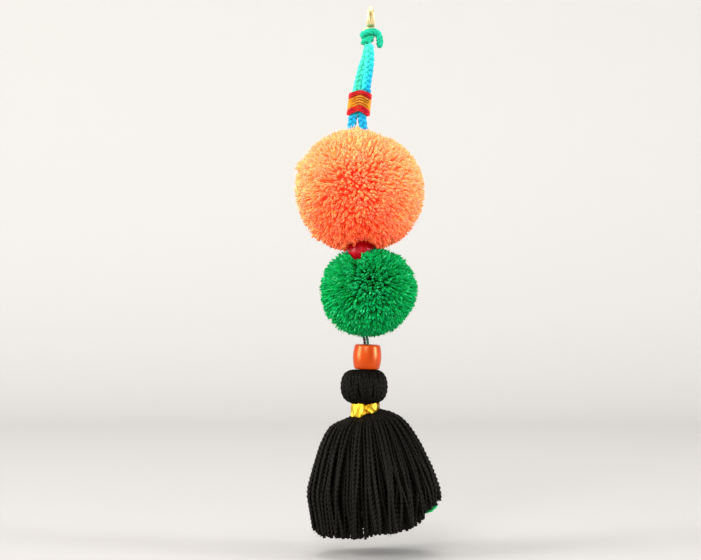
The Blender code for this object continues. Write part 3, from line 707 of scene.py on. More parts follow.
tasselLook = {
    "seed": 31, "depth": (0.54, 0.72), "sides": 6, "pitch": 0.0048, "lobeDepth": 0.36,
    # share of the half width, yarns, steps, radius at the foot
    "layers": ((0.965, 88, 84, 0.00080), (0.885, 80, 60, 0.00084), (0.77, 60, 20, 0.0010),
               (0.60, 42, 16, 0.0010), (0.40, 28, 14, 0.0010), (0.18, 12, 12, 0.0010)),
    "top": -0.2085,
    # how unevenly the yarns lie: between neighbours, inwards, sideways at the foot, in waves
    "uneven": 0.32, "sink": (0.050, 0.020), "drift": 0.060, "driftHeight": -0.262, "sway": 0.032,
    "gather": ((0.030, 9, 9), (0.025, 17, 14)),    # angle, bunches, shift by layer
    # the share of yarns that lie across the others, how far sideways and how far out
    "strays": 0.28, "strayDrift": 0.17, "strayOut": 0.024,
    "ragged": (0.0010, 0.0027), "frontRise": 0.09,
    "headCentre": (-0.0034, 0.0, -0.1959), "headHalves": (0.01225, 0.0110, 0.0090),
    "headSquare": 0.42, "headCore": 0.90, "headLobes": 0.32,
    "headLayers": ((84, 0.0, 0.00062), (60, -0.02, 0.00058)),    # yarns, growth, radius
    "tail": (-0.0028, -0.2056, 0.60),    # x and z where the head's yarns go into the neck, share
    "neck": ((-0.0030, 0.0, -0.2030), (-0.0028, 0.0, -0.2085), (-0.0024, 0.0, -0.2125)),
    "neckRadius": 0.0060,
    # fine hairs: count, heights, shares of the half width, lengths, radius
    "hairs": 2600, "hairHeights": (-0.2745, -0.2140), "hairShares": (0.93, 0.985),
    "hairLengths": (0.0012, 0.0034), "hairRadius": 0.00006, "hairAboveFoot": 0.0040,
}

blackStops = ((0.0, (0.0013, 0.0012, 0.0009)), (1.0, (0.0024, 0.0021, 0.0016)))


def skirtPoints(heights, angles, shares):
    order = -heights
    left = np.interp(order, -skirtRows[:, 0], skirtRows[:, 1])
    right = np.interp(order, -skirtRows[:, 0], skirtRows[:, 2])
    lift = np.interp(order, -skirtRows[:, 0], skirtRows[:, 3])
    half = (right - left) / 2
    x = half * shares * np.cos(angles)
    depth = np.interp(order, (0.2100, 0.2150), tasselLook["depth"])
    y = half * shares * np.sin(angles) * depth
    return np.stack([(left + right) / 2 + x, y, heights + lift * x], axis=-1)


def travelledBy(paths):
    # distance along each path at each of its stations
    steps = np.diff(paths, axis=-2, prepend=paths[..., :1, :])
    return np.cumsum(np.linalg.norm(steps, axis=-1), axis=-1)


def skirtYarns(rng, share, count, steps, radius, twisted):
    look = tasselLook
    uneven = look["uneven"]
    angles = fullTurn * (np.arange(count) + rng.uniform(-uneven, uneven, count)) / count
    shares = share - np.abs(rng.normal(0, look["sink"][0], count)) + look["sink"][1]
    gather = sum(size * np.sin(angles * bunches + shift * share)
                 for size, bunches, shift in look["gather"])
    drift = rng.normal(0, look["drift"], count) + gather
    stray = rng.uniform(0, 1, count) < look["strays"]
    drift = np.where(stray, drift + rng.normal(0, look["strayDrift"], count), drift)
    shares = np.where(stray, share + rng.uniform(0.0, look["strayOut"], count), shares)
    ends = skirtPoints(np.full(count, look["driftHeight"]), angles + drift, shares)
    foot = np.interp(ends[:, 0], footRows[:, 0], footRows[:, 1])
    foot = foot + rng.uniform(0.0, look["ragged"][twisted], count)
    foot = foot + look["frontRise"] * np.maximum(0.0, -ends[:, 1])
    t = np.linspace(0, 1, steps)[None, :]
    heights = look["top"] + (foot[:, None] - look["top"]) * t ** 1.15
    sway = look["sway"] * np.sin(t * rng.uniform(3, 9, (count, 1)) + rng.uniform(0, 6, (count, 1))) * t
    around = angles[:, None] + drift[:, None] * t + sway
    paths = skirtPoints(heights, around, shares[:, None] + sway * 0.4)
    radii = radius * (0.62 + 0.38 * np.minimum(t * 2.2, 1.0)) * rng.uniform(0.88, 1.1, (count, 1))
    radii[:, -1] *= 0.75
    if not twisted:    # hidden by the outer layers
        return yarnArrays(paths, radii, 5, rng.uniform(0, 1, count), rng.uniform(0, 1, count))
    twist = fullTurn * travelledBy(paths) / look["pitch"] + rng.uniform(0, fullTurn, (count, 1))
    return yarnArrays(paths, radii, look["sides"], rng.uniform(0, 1, count),
                      rng.uniform(0, 1, count), twist=twist, lobes=2, lobeDepth=look["lobeDepth"])


def headYarns(rng, count, grow, radius, steps=34):
    look = tasselLook
    angles = fullTurn * (np.arange(count) + rng.uniform(-0.3, 0.3, count)) / count
    slope = np.radians(np.linspace(80, -66, steps))[None, :]
    around = angles[:, None] + 0.13 * np.sin(slope * 1.3 + rng.uniform(0, 6, (count, 1)))
    size = np.cos(slope) ** look["headSquare"] + grow
    centre, halves = look["headCentre"], look["headHalves"]
    heights = centre[2] + (halves[2] - radius) * np.sin(slope)
    paths = np.stack([centre[0] + (halves[0] - radius) * size * np.cos(around),
                      centre[1] + (halves[1] - radius) * size * np.sin(around),
                      np.broadcast_to(heights, around.shape)], axis=-1)
    x, z, drawnIn = look["tail"]
    tail = paths[:, -1:].copy()
    tail[..., 0] = x + (tail[..., 0] - centre[0]) * drawnIn
    tail[..., 1] *= drawnIn
    tail[..., 2] = z
    paths = np.concatenate([paths, tail], axis=1)
    radii = radius * (0.35 + 0.65 * np.cos(np.linspace(1.35, -1.0, steps + 1)) ** 0.7)
    radii = radii[None, :] * rng.uniform(0.85, 1.1, (count, 1))
    twist = fullTurn * travelledBy(paths) / look["pitch"] + rng.uniform(0, fullTurn, (count, 1))
    return yarnArrays(paths, radii, look["sides"], rng.uniform(0, 1, count),
                      rng.uniform(0, 1, count), twist=twist, lobes=2, lobeDepth=look["headLobes"])


blackYarnLook = {
    "stops": blackStops, "value": (0.5, 1.9), "hue": 0.0, "bump": 0.7, "fibreScale": 1700.0,
    "sheen": (0.010, (0.55, 0.50, 0.42)), "gloss": 0.105, "roughness": 0.58,
    "glossTint": (1.0, 0.93, 0.80),
}


def makeTassel(green):
    look = tasselLook
    rng = np.random.default_rng(look["seed"])
    black = yarnMaterial("blackYarn", blackYarnLook)
    parts = [skirtYarns(rng, share, count, steps, radius, i < 2)
             for i, (share, count, steps, radius) in enumerate(look["layers"])]
    skirt = meshFromArrays("tasselSkirt", *joinArrays(parts))
    finishPiece(skirt, "root", ["tassel"], black)
    parts = [headYarns(rng, *layer) for layer in look["headLayers"]]
    core = [half * look["headCore"] for half in look["headHalves"]]
    parts.append(ballArrays(look["headCentre"], core, 40, 24, (0.2, 0.2, 0.5)))
    parts.append(yarnArrays(np.array([look["neck"]]), np.full((1, 3), look["neckRadius"]), 32,
                            np.array([0.3]), 0.5))
    head = meshFromArrays("tasselHead", *joinArrays(parts))
    finishPiece(head, "root", ["tassel"], black)
    makeTasselFuzz(rng, black)
    makeGreenEnd(green)
    print("tassel made")


def makeTasselFuzz(rng, black):
    look = tasselLook
    count = look["hairs"]
    angles = rng.uniform(0, fullTurn, count)
    heights = rng.uniform(*look["hairHeights"], count)
    start = skirtPoints(heights, angles, rng.uniform(*look["hairShares"], count))
    low = np.interp(start[:, 0], footRows[:, 0], footRows[:, 1])
    start[:, 2] = np.maximum(start[:, 2], low + look["hairAboveFoot"])
    way = unit(rng.normal(0, 1, (count, 3)) * (1, 1, 0.8) + (0, 0, -0.9))
    length = rng.uniform(*look["hairLengths"], (count, 1))
    bend = unit(rng.normal(0, 1, (count, 3))) * length * 0.25
    paths = np.stack([start, start + way * length * 0.5 + bend, start + way * length], axis=1)
    radii = np.full((count, 3), look["hairRadius"]) * pompomYarn["hairTaper"]
    hairs = yarnArrays(paths, radii, 3, rng.uniform(0.5, 1, count), 0.5)
    fuzz = meshFromArrays("tasselFuzz", *hairs)
    finishPiece(fuzz, "root", None, black)


greenEnd = {
    # colours: the part of the green ramp it takes, darker (painted shade) where it goes in under the
    # black yarns
    "radius": 0.00100, "step": 0.0006, "lobeDepth": 0.22, "colours": (0.4, 0.93),
    "route": ((0.0120, 0.0030, -0.2200), (0.0205, 0.0060, -0.2360), (0.0252, 0.0080, -0.2520),
              (0.0268, 0.0085, -0.2596), (0.0286, 0.0076, -0.2618), (0.0316, 0.0066, -0.2612),
              (0.0344, 0.0060, -0.2586)),
}


def makeGreenEnd(green):
    look = greenEnd
    path = smoothPath(look["route"], look["step"])[None]
    steps = path.shape[1]
    twist = fullTurn * np.arange(steps)[None, :] * look["step"] / tasselLook["pitch"]
    part = yarnArrays(path, np.full((1, steps), look["radius"]), 10, np.array([0.95]), 0.5,
                      twist=twist, lobes=2, lobeDepth=look["lobeDepth"],
                      alongRange=look["colours"])
    yarn = meshFromArrays("yarnGreen", *part)
    finishPiece(yarn, "root", ["yarn_green"], green)


# Foil wound round the neck

foilLook = {
    "neck": (0.0062, 0.0056), "middle": (-0.0028, -0.2077), "gap": 0.0003, "thick": 0.0011,
    "around": 220, "across": 22, "seed": 12,
    # half height, less towards the right, in the pinch and at the right end
    "half": (0.0034, 0.0009, 0.0011, 0.0009), "rise": 0.0012,
    "pinch": (0.15, 0.22), "fold": (0.13, 0.10),    # place and width, in shares of the radius
    "creases": 7, "creaseSlope": 1.4, "swell": (1.08, 0.14, 0.42),
    "edge": ((0.00022, 9, 1.0), (0.00015, 17, 0.0)),
    # painted light and shade, left to right: the bright block, the pinch painted dark brown as shade in
    # the fold, the lobe painted dimmer and its edge painted dark
    "span": (-0.0110, 0.0050),
    "stops": ((0.00, (0.80, 0.53, 0.040)), (0.40, (0.77, 0.48, 0.026)),
              (0.56, (0.40, 0.14, 0.004)), (0.66, (0.49, 0.25, 0.010)),
              (0.80, (0.54, 0.34, 0.032)), (1.00, (0.20, 0.08, 0.003))),
}


def foilMaterial():
    n = Nodes("goldFoil")
    fine = n.noise(650.0, 2.0)
    broad = n.noise(230.0, 2.0)
    parts = n.add("ShaderNodeSeparateXYZ")
    n.link(n.objectPlace(), parts.inputs["Vector"])
    # painted light and shade across the foil, left to right
    place = n.spread(parts.outputs["X"], 0.0, 1.0, *foilLook["span"])
    shift = n.vary(broad, -0.06, 0.06)
    colour = n.ramp(n.math("ADD", place, shift), foilLook["stops"])
    n.link(colour, n.shader.inputs["Base Color"])
    n.bump(fine, 0.08, 0.0002)
    return n.set(Metallic=1.0, Roughness=n.vary(broad, 0.34, 0.46))


def makeFoil():
    look = foilLook
    rng = np.random.default_rng(look["seed"])
    turn = fullTurn * np.arange(look["around"])[:, None] / look["around"]
    across = np.linspace(0, 1, look["across"])[None, :]
    x, y = np.cos(turn), np.sin(turn)
    front = y < 0

    def inFront(place, width):
        return np.where(front, np.exp(-((x - place) / width) ** 2), 0.0)

    tall, lean, pinched, ending = look["half"]
    half = tall - lean * x - pinched * inFront(*look["pinch"])
    half = half - np.where(front, ending * np.clip((x - 0.6) / 0.4, 0, 1) ** 2, 0.0)
    middle = look["middle"][1] + look["rise"] * x
    up = np.sin((across - 0.5) * math.pi)
    out = np.cos((across - 0.5) * math.pi) ** 0.45
    crease = np.zeros((look["around"], look["across"]))
    for _ in range(look["creases"]):
        slope = rng.normal(0, look["creaseSlope"])
        rate = rng.integers(2, 7)
        wave = np.sin(turn * rate + slope * up + rng.uniform(0, fullTurn))
        crease += (1 - 2 * np.abs(wave)) / math.sqrt(rate)
    crease = crease / crease.std()
    full, creased, folded = look["swell"]
    reach = full + creased * crease - folded * inFront(*look["fold"])
    reach = look["gap"] + look["thick"] * out * reach
    reach = np.maximum(reach, look["gap"] * 0.5)
    edge = sum(size * np.sin(turn * waves + shift) for size, waves, shift in look["edge"])
    points = np.stack([look["middle"][0] + (look["neck"][0] + reach) * x,
                       (look["neck"][1] + reach) * y,
                       middle + (half + edge) * up], axis=-1)
    inner = np.stack([look["middle"][0] + (look["neck"][0] + 0.00005) * x[:, 0],
                      (look["neck"][1] + 0.00005) * y[:, 0], middle[:, 0]], axis=-1)
    ring = np.concatenate([points, inner[:, None]], axis=1)
    rows, cols = ring.shape[:2]
    i = np.arange(rows)[:, None]
    j = np.arange(cols)[None, :]
    quads = np.stack([i * cols + j, (i + 1) % rows * cols + j,
                      (i + 1) % rows * cols + (j + 1) % cols, i * cols + (j + 1) % cols], axis=-1)
    tones = np.tile((0.5, 0.5, 0.5), (rows * cols, 1))
    foil = meshFromArrays("foilWrap", ring.reshape(-1, 3), np.full(rows * cols, 4),
                          quads.ravel(), tones)
    finishPiece(foil, "root", ["wrap_gold"], foilMaterial())
    print("foil made")


# Cords: two braids, the knot and the two thin cords

def smoothPath(stations, step):
    stations = np.array(stations, float)
    slopes = np.gradient(stations, axis=0)
    found = []
    for i in range(len(stations) - 1):
        a, b = stations[i], stations[i + 1]
        parts = max(1, round(np.linalg.norm((b - a)[:3]) / step))
        t = (np.arange(parts) / parts)[:, None]
        found.append((2 * t**3 - 3 * t**2 + 1) * a + (t**3 - 2 * t**2 + t) * slopes[i]
                     + (3 * t**2 - 2 * t**3) * b + (t**3 - t**2) * slopes[i + 1])
    found.append(stations[-1:])
    return np.concatenate(found)


braidLook = {
    "radius": 0.00215, "step": 0.00030, "period": 0.0084, "swing": 0.60, "depth": 0.27,
    "strand": 0.50, "threads": 7, "threadDepth": 0.13,
    # height, x left, x right, half of the depth between them, radius share
    "rows": (
        (-0.0185, -0.00110, -0.00075, 0.00262, 0.95),
        (-0.0245, -0.00240, -0.00040, 0.00245, 0.98),
        (-0.0290, -0.00390, -0.00065, 0.00205, 1.00),
        (-0.0340, -0.00525, -0.00130, 0.00160, 1.00),
        (-0.0400, -0.00665, -0.00225, 0.00120, 1.00),
        (-0.0440, -0.00735, -0.00230, 0.00000, 1.00),
        (-0.0515, -0.00850, -0.00395, 0.00000, 0.97),
        (-0.0550, -0.00905, -0.00455, 0.00000, 0.96),
        (-0.0600, -0.00975, -0.00400, 0.00000, 0.96),
        (-0.0640, -0.01010, -0.00365, 0.00000, 0.92),
        (-0.0765, -0.00980, -0.00360, 0.00000, 0.92),
    ),
}


def braidMaterial():
    n = Nodes("blueBraid")
    place = n.objectPlace()
    parts = n.add("ShaderNodeSeparateXYZ")
    n.link(place, parts.inputs["Vector"])
    down = n.spread(parts.outputs["Z"], 0.0, 1.0, -0.020, -0.048)
    lean = n.math("ADD", parts.outputs["X"], n.math("MULTIPLY", down, 0.0042))
    side = n.spread(lean, 0.0, 1.0, -0.0036, 0.0026)
    blue = n.math("MULTIPLY", side, n.spread(down, 0.25, 1.0))
    colour = n.ramp(blue, ((0.0, (0.060, 0.66, 0.44)), (0.35, (0.025, 0.60, 0.58)),
                           (0.70, (0.003, 0.40, 0.62)), (1.0, (0.000, 0.22, 0.56))))
    low = n.spread(parts.outputs["Z"], 0.0, 1.0, -0.050, -0.056)
    colour = n.mix("MIX", low, colour, (0.008, 0.36, 0.62))
    fibre = n.noise(1900.0, 3.0)
    cloud = n.noise(420.0, 2.0)
    value = n.math("ADD", n.vary(fibre, 0.78, 1.10), n.vary(cloud, -0.12, 0.14))
    colour = n.shade(colour, 0.5, 1.0, value)
    n.link(colour, n.shader.inputs["Base Color"])
    n.bump(fibre, 0.5, 0.00012)
    return n.set(Roughness=0.7, Specular_IOR_Level=0.15, Sheen_Weight=0.12, Sheen_Roughness=0.5,
                 Sheen_Tint=(0.5, 1.0, 1.0))


def braidArrays(rng, centre, radius, look):
    ahead, across, beside = pathFrames(centre[None])
    ahead, across, beside = ahead[0], across[0], beside[0]
    wide = unit(np.array([1.0, 0.0, 0.0]) - ahead * ahead[:, :1])
    deep = np.cross(ahead, wide)
    travelled = np.cumsum(np.linalg.norm(np.diff(centre, axis=0, prepend=centre[:1]), axis=-1))
    parts = []
    for k in range(3):
        phase = fullTurn * (travelled / look["period"] + k / 3)
        path = (centre + wide * (radius * look["swing"] * np.sin(phase))[:, None]
                + deep * (radius * look["depth"] * np.sin(2 * phase))[:, None])
        twist = (fullTurn * travelled / 0.011)[None]
        radii = (radius * look["strand"])[None]
        parts.append(yarnArrays(path[None], radii, look["threads"] * 2, rng.uniform(0, 1, 1), 0.5,
                                twist=twist, lobes=look["threads"], lobeDepth=look["threadDepth"]))
    return parts


def makeBraids():
    look = braidLook
    rng = np.random.default_rng(6)
    material = braidMaterial()
    for name, side, node in (("braidLeft", -1, "cord_left"), ("braidRight", 1, "cord_right")):
        stations = [(left if side < 0 else right, -side * apart, height, look["radius"] * share)
                    for height, left, right, apart, share in look["rows"]]
        route = smoothPath(stations, look["step"])
        parts = braidArrays(rng, route[:, :3], route[:, 3], look)
        thing = meshFromArrays(name, *joinArrays(parts))
        finishPiece(thing, "root", [node], material)
    print("braids made")


knotLook = {
    "centre": (-0.0020, 0.0, -0.0153), "turn": 0.00195, "cord": 0.00175, "rise": 0.0043,
    "lay": 0.0062, "core": (0.0021, 0.0021, 0.0044),
    "arch": (
        (-0.0037, -0.0012, -0.0130, 0.00175),
        (-0.0017, -0.0023, -0.0123, 0.00180),
        (0.0010, -0.0022, -0.0118, 0.00185),
        (0.0036, -0.0014, -0.0128, 0.00185),
        (0.0047, -0.0008, -0.0155, 0.00185),
        (0.0048, -0.0006, -0.0180, 0.00180),
        (0.0046, -0.0006, -0.0198, 0.00120),
    ),
    # the turn under the arch, seen between the ball and the end
    "inner": (
        (-0.0034, -0.0016, -0.0168, 0.00120), (-0.0014, -0.0022, -0.0158, 0.00135),
        (0.0004, -0.0018, -0.0146, 0.00130), (0.0014, -0.0004, -0.0136, 0.00110),
    ),
}


def laidCord(rng, route, lay):
    # three strands laid round each other
    centre, radius = route[:, :3], route[:, 3]
    ahead, across, beside = (part[0] for part in pathFrames(centre[None]))
    travelled = np.cumsum(np.linalg.norm(np.diff(centre, axis=0, prepend=centre[:1]), axis=-1))
    parts = []
    for k in range(3):
        phase = fullTurn * (travelled / lay + k / 3)
        offset = (radius * 0.47)[:, None]
        path = centre + offset * (across * np.cos(phase)[:, None] + beside * np.sin(phase)[:, None])
        parts.append(yarnArrays(path[None], (radius * 0.56)[None], 12, rng.uniform(0, 1, 1), 0.5,
                                twist=(phase * 1.4)[None], lobes=6, lobeDepth=0.10))
    return parts


def makeKnot():
    look = knotLook
    rng = np.random.default_rng(2)
    stations = []
    for i in range(8):
        angle = math.radians(200) + fullTurn * i / 8
        stations.append((look["centre"][0] + look["turn"] * math.cos(angle),
                         look["centre"][1] + look["turn"] * math.sin(angle),
                         look["centre"][2] + look["rise"] * (i / 8 - 0.5), look["cord"]))
    parts = (laidCord(rng, smoothPath(stations + list(look["arch"]), 0.00022), look["lay"])
             + laidCord(rng, smoothPath(look["inner"], 0.00022), look["lay"]))
    parts.append(ballArrays(look["centre"], look["core"], 24, 16, (0.3, 0.3, 0.5)))
    material = yarnMaterial("mintCord", {
        "stops": ((0.0, (0.003, 0.38, 0.21)), (1.0, (0.006, 0.46, 0.27))),
        "value": (0.78, 1.12), "hue": 0.014, "bump": 0.6, "cloudScale": 260.0,
        "sheen": (0.12, (0.5, 1.0, 0.8)), "roughness": 0.7, "gloss": 0.12,
    })
    thing = meshFromArrays("knotCord", *joinArrays(parts))
    finishPiece(thing, "root", ["knot"], material)
    print("knot made")


threadLook = {
    "radius": 0.00070,
    # height, x of the pair's middle, half of the space between the two
    "rows": (
        (-0.1130, -0.00490, 0.00080), (-0.1251, -0.00490, 0.00080), (-0.1469, -0.00330, 0.00080),
        (-0.1660, -0.00280, 0.00080), (-0.1698, -0.00280, 0.00080), (-0.1730, -0.00230, 0.00080),
        (-0.1805, -0.00180, 0.00080), (-0.1870, -0.00190, 0.00080), (-0.1925, -0.00200, 0.00080),
    ),
}


def makeThreads():
    look = threadLook
    tints = (("threadBlack", -1, "cord_black", "black_yarn", (0.012, 0.012, 0.012)),
             ("threadGreen", 1, "cord_green", "green_yarn", (0.002, 0.10, 0.045)))
    for name, side, node, slotName, tint in tints:
        stations = [(x + side * apart, 0.0, height, look["radius"])
                    for height, x, apart in look["rows"]]
        route = smoothPath(stations, 0.0004)
        travelled = np.arange(len(route)) * 0.0004
        part = yarnArrays(route[None, :, :3], route[None, :, 3], 8, np.array([0.5]), 0.5,
                          twist=(fullTurn * travelled / 0.0026)[None], lobes=2, lobeDepth=0.16)
        material = yarnMaterial(name + "Yarn", {
            "stops": ((0.0, tint), (1.0, tint)), "value": (0.9, 1.1), "hue": 0.0, "bump": 0.4,
            "sheen": (0.2, (0.6, 0.8, 0.7)), "roughness": 0.6, "gloss": 0.4,
        })
        thing = meshFromArrays(name, *part)
        finishPiece(thing, "root", [node], material)
    print("thin cords made")


# Thread band

bandLook = {
    "centre": (-0.0058, 0.0, -0.0489), "halfWidth": 0.0061, "halfDepth": 0.0042,
    "tilt": 0.04, "lean": 0.11,
}


def bandLoop(middle, side, share, radius, peak, steps=96):
    look = bandLook
    angle = fullTurn * np.arange(steps) / steps
    x = np.sign(np.cos(angle)) * np.abs(np.cos(angle)) ** 0.8
    y = np.sign(np.sin(angle)) * np.abs(np.sin(angle)) ** 0.8
    bow = (1 - x ** 2) * (1 - peak) + (1 - np.sqrt(x ** 2 + 0.004)) * 1.06 * peak
    centre = look["centre"]
    rise = side + (middle - side) * bow
    return np.stack([centre[0] + x * (look["halfWidth"] * share - radius) + look["lean"] * rise,
                     centre[1] + y * (look["halfDepth"] * share - radius),
                     centre[2] + rise - look["tilt"] * x * look["halfWidth"]], axis=-1)


def loopArrays(path, radius, sides, twistTurns, rng, along=1.0):
    closed = np.concatenate([path[-2:], path, path[:3]])
    ahead = unit(closed[2:] - closed[:-2])[1:-1]
    path = closed[2:-2]
    out = unit(path - path[:-1].mean(axis=0))
    out = unit(out - ahead * np.sum(out * ahead, axis=-1, keepdims=True))
    beside = np.cross(ahead, out)
    steps = len(path) - 1
    path, out, beside = path[:-1], out[:-1], beside[:-1]
    base = fullTurn * np.arange(sides) / sides
    turned = base[None, :] + twistTurns * fullTurn * np.arange(steps)[:, None] / steps
    ring = radius * (1 + 0.16 * np.cos(3 * base))[None, :]
    points = (path[:, None] + out[:, None] * (ring * np.cos(turned))[..., None]
              + beside[:, None] * (ring * np.sin(turned))[..., None])
    i = np.arange(steps)[:, None]
    j = np.arange(sides)[None, :]
    quads = np.stack([i * sides + j, i * sides + (j + 1) % sides,
                      (i + 1) % steps * sides + (j + 1) % sides, (i + 1) % steps * sides + j],
                     axis=-1)
    tones = np.empty((steps * sides, 3))
    tones[:, 0] = along
    tones[:, 1] = rng.uniform(0, 1)
    tones[:, 2] = 0.5
    return points.reshape(-1, 3), np.full(steps * sides, 4), quads.ravel(), tones


def threadMaterial(name, dark, light, tint):
    # dark: painted shade, used only by the inner loops in the gaps between rows; light: the thread's
    # colour
    return yarnMaterial(name, {
        "stops": ((0.0, dark), (1.0, light)), "value": (0.72, 1.18), "hue": 0.012, "bump": 0.5,
        "cloudScale": 330.0, "sheen": (0.15, tint), "roughness": 0.6, "gloss": 0.2,
    })


def makeBand():
    look = bandLook
    rng = np.random.default_rng(3)
    red = threadMaterial("redThread", (0.40, 0.002, 0.006), (0.90, 0.010, 0.024), (1.0, 0.4, 0.4))
    yellow = threadMaterial("yellowThread", (0.42, 0.09, 0.002), (1.0, 0.42, 0.015),
                            (1.0, 0.85, 0.5))
    # name, node, slot, foot and top as (middle, side), rows of thread, how pointed, material
    rows = (
        ("bandUpper", "band_upper", "red_thread", (0.0043, 0.0019), (0.0064, 0.0050), 3, 0.3, red),
        ("bandMiddle", "band_middle", "yellow_thread", (-0.0010, -0.0036), (0.0042, 0.0017), 4,
         0.8, yellow),
        ("bandLower", "band_lower", "red_thread", (-0.0041, -0.0064), (-0.0011, -0.0037), 3, 0.4,
         red),
    )
    for name, node, slotName, foot, top, count, peak, material in rows:
        foot, top = np.array(foot), np.array(top)
        pitch = (top - foot) / count
        parts = []
        for k in range(count):
            middle, side = foot + pitch * (k + 0.5)
            radius = pitch.mean() * 0.43
            lift = 0.99 + 0.02 * (k % 2)
            parts.append(loopArrays(bandLoop(middle, side, lift, radius, peak), radius, 12, 44, rng))
            # the inner loops take the dark colour: painted shade in the gaps between rows
            inner = pitch.max() * 0.62
            parts.append(loopArrays(bandLoop(middle, side, 0.90, inner, peak), inner, 10, 0, rng,
                                    0.0))
        thing = meshFromArrays(name, *joinArrays(parts))
        finishPiece(thing, "root", [node], material)
    print("band made")


# Clasp

claspLook = {
    "bowTop": 0.0018, "foot": -0.0096, "halfDepth": 0.0044, "bar": 0.0017,
    # height, half width of the bar
    "widths": ((-0.0096, 0.0021), (-0.0045, 0.00205), (-0.0016, 0.00165), (0.0004, 0.00120),
               (0.0018, 0.00075)),
    "slot": (0.0011, -0.0072, -0.0012),
    "lever": (0.00028, -0.0042, -0.0029),
    "eye": (-0.0016, -0.0119), "eyeRadius": 0.0021, "eyeWire": 0.00052,
}


def goldMaterial():
    n = Nodes("paleGold")
    place = n.objectPlace()
    stretch = n.add("ShaderNodeMapping")
    stretch.inputs["Scale"].default_value = (1.0, 1.0, 0.08)
    n.link(place, stretch.inputs["Vector"])
    brushed = n.noise(2600.0, 3.0, stretch.outputs["Vector"])
    worn = n.noise(320.0, 3.0)
    colour = n.ramp(worn, ((0.30, (0.70, 0.52, 0.22)), (0.60, (0.84, 0.72, 0.42))))
    n.link(colour, n.shader.inputs["Base Color"])
    n.bump(brushed, 0.05, 0.0001)
    return n.set(Metallic=0.85, Roughness=n.vary(worn, 0.42, 0.54))


# painted shade: the lever is coloured dark brown so the slot round it looks shaded
def shadedLeverMaterial():
    n = Nodes("shadedBrass")
    worn = n.noise(700.0, 3.0)
    colour = n.ramp(worn, ((0.3, (0.16, 0.115, 0.035)), (0.7, (0.34, 0.27, 0.10))))
    n.link(colour, n.shader.inputs["Base Color"])
    return n.set(Metallic=0.5, Roughness=0.6)


def sweepLoop(points, outs, sideways, shape):
    rings = []
    for point, out, side in zip(points, outs, sideways):
        rings.append([point + side * a + out * b for a, b in shape(point)])
    return rings


def meshFromRings(name, rings):
    bm = bmesh.new()
    rows = [[bm.verts.new(point) for point in ring] for ring in rings]
    for here, beyond in zip(rows, rows[1:] + rows[:1]):
        for k in range(len(here)):
            j = (k + 1) % len(here)
            bm.faces.new((here[k], here[j], beyond[j], beyond[k]))
    bmesh.ops.recalc_face_normals(bm, faces=bm.faces)
    mesh = bpy.data.meshes.new(name)
    bm.to_mesh(mesh)
    bm.free()
    thing = bpy.data.objects.new(name, mesh)
    bpy.context.scene.collection.objects.link(thing)
    return thing


def boxPiece(name, low, high, edge):
    bm = bmesh.new()
    bmesh.ops.create_cube(bm, size=1.0)
    bmesh.ops.scale(bm, vec=Vector(high) - Vector(low), verts=bm.verts)
    bmesh.ops.translate(bm, vec=(Vector(high) + Vector(low)) / 2, verts=bm.verts)
    if edge:
        bmesh.ops.bevel(bm, geom=list(bm.edges), affect="EDGES", offset=edge, segments=3,
                        profile=0.5, material=-1)
    mesh = bpy.data.meshes.new(name)
    bm.to_mesh(mesh)
    bm.free()
    thing = bpy.data.objects.new(name, mesh)
    bpy.context.scene.collection.objects.link(thing)
    return thing


def leafPiece(name, half, low, high, front, back):
    # a leaf with pointed ends, seen from the front
    bm = bmesh.new()
    outline = []
    for i in range(24):
        angle = fullTurn * i / 24
        outline.append((half * abs(math.cos(angle)) ** 1.3 * math.copysign(1, math.cos(angle)),
                        (high + low) / 2 + (high - low) / 2 * math.sin(angle)))
    face = bm.faces.new([bm.verts.new((x, front, z)) for x, z in outline])
    grown = bmesh.ops.extrude_face_region(bm, geom=[face])["geom"]
    moved = [part for part in grown if isinstance(part, bmesh.types.BMVert)]
    bmesh.ops.translate(bm, vec=(0, back - front, 0), verts=moved)
    bmesh.ops.recalc_face_normals(bm, faces=bm.faces)
    mesh = bpy.data.meshes.new(name)
    bm.to_mesh(mesh)
    bm.free()
    thing = bpy.data.objects.new(name, mesh)
    bpy.context.scene.collection.objects.link(thing)
    return thing


def applyBoolean(target, cutter, operation):
    step = target.modifiers.new("join", "BOOLEAN")
    step.operation = operation
    step.solver = "EXACT"
    step.object = cutter
    graph = bpy.context.evaluated_depsgraph_get()
    made = bpy.data.meshes.new_from_object(target.evaluated_get(graph))
    target.modifiers.remove(step)
    target.data = made
    bpy.data.objects.remove(cutter, do_unlink=True)


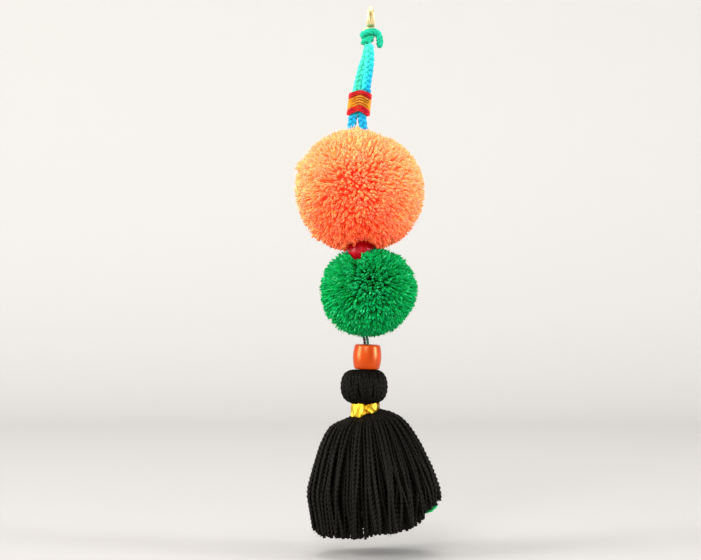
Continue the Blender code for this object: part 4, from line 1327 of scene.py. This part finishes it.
def makeClasp():
    look = claspLook
    middle = (look["bowTop"] + look["foot"]) / 2
    halfHeight = (look["bowTop"] - look["foot"]) / 2 - look["bar"] / 2
    halfDepth = look["halfDepth"] - look["bar"] / 2

    def section(point):
        width = np.interp(point.z, *zip(*look["widths"]))
        shape = []
        for k in range(20):
            angle = fullTurn * k / 20
            a = math.copysign(abs(math.cos(angle)) ** 0.6, math.cos(angle))
            b = math.copysign(abs(math.sin(angle)) ** 0.6, math.sin(angle))
            shape.append((width * a, look["bar"] / 2 * b))
        return shape

    points, outs, sides = [], [], []
    for i in range(72):
        angle = fullTurn * i / 72
        points.append(Vector((0, halfDepth * math.cos(angle), middle + halfHeight * math.sin(angle))))
        out = Vector((0, math.cos(angle) / halfDepth, math.sin(angle) / halfHeight))
        outs.append(out.normalized())
        sides.append(Vector((1, 0, 0)))
    body = meshFromRings("clasp", sweepLoop(points, outs, sides, section))
    eyePoints, eyeOuts, eyeSides = [], [], []
    for i in range(48):
        angle = fullTurn * i / 48
        out = Vector((math.cos(angle), 0, math.sin(angle)))
        eyePoints.append(Vector((look["eye"][0], 0, look["eye"][1])) + out * look["eyeRadius"])
        eyeOuts.append(out)
        eyeSides.append(Vector((0, 1, 0)))
    wire = [(look["eyeWire"] * math.cos(fullTurn * k / 14), look["eyeWire"] * math.sin(fullTurn * k / 14))
            for k in range(14)]
    eye = meshFromRings("eye", sweepLoop(eyePoints, eyeOuts, eyeSides, lambda point: wire))
    applyBoolean(body, eye, "UNION")
    shank = boxPiece("shank", (-0.0022, -0.0008, -0.0103), (0.0002, 0.0008, -0.0091), 0.0003)
    applyBoolean(body, shank, "UNION")
    halfSlot, low, high = look["slot"]
    applyBoolean(body, leafPiece("slot", halfSlot, low, high, -0.0060, -0.0018), "DIFFERENCE")
    body.data.polygons.foreach_set("use_smooth", [True] * len(body.data.polygons))
    body.data.set_sharp_from_angle(angle=math.radians(42))
    gold = goldMaterial()
    finishPiece(body, "root", ["clasp_body"], gold)
    half, front, back = look["lever"]
    lever = boxPiece("claspLever", (-half, front, low + 0.0003), (half, back, high - 0.0003), 0.00012)
    lever.data.polygons.foreach_set("use_smooth", [True] * len(lever.data.polygons))
    lever.data.set_sharp_from_angle(angle=math.radians(42))
    finishPiece(lever, "root", ["clasp_lever"], shadedLeverMaterial())
    print("clasp made")


# Floor

def makeFloor():
    look = floorLook
    bm = bmesh.new()
    outline = [(look["front"], look["height"]), (look["back"] - look["bend"], look["height"])]
    for i in range(1, 12):
        angle = math.pi / 2 * i / 12
        outline.append((look["back"] - look["bend"] + look["bend"] * math.sin(angle),
                        look["height"] + look["bend"] * (1 - math.cos(angle))))
    outline.append((look["back"], look["height"] + look["bend"]))
    outline.append((look["back"], look["height"] + look["rise"]))
    left = [bm.verts.new((-look["halfWidth"], y, z)) for y, z in outline]
    right = [bm.verts.new((look["halfWidth"], y, z)) for y, z in outline]
    for k in range(len(outline) - 1):
        bm.faces.new((left[k], right[k], right[k + 1], left[k + 1]))
    mesh = bpy.data.meshes.new("floor")
    bm.to_mesh(mesh)
    bm.free()
    mesh.polygons.foreach_set("use_smooth", [True] * len(mesh.polygons))
    floor = bpy.data.objects.new("floor", mesh)
    bpy.context.scene.collection.objects.link(floor)
    n = Nodes("paleFloor")
    n.set(Base_Color=look["colour"], Roughness=0.8, Specular_IOR_Level=0.2)
    mesh.materials.append(n.material)


addCamera()
addLights()
makeFloor()
makeClasp()
makeKnot()
makeBraids()
makeBand()
makeBeads()
greenYarn = makePompoms()
makeThreads()
makeTassel(greenYarn)
makeFoil()

bpy.context.scene.view_settings.view_transform = "Standard"
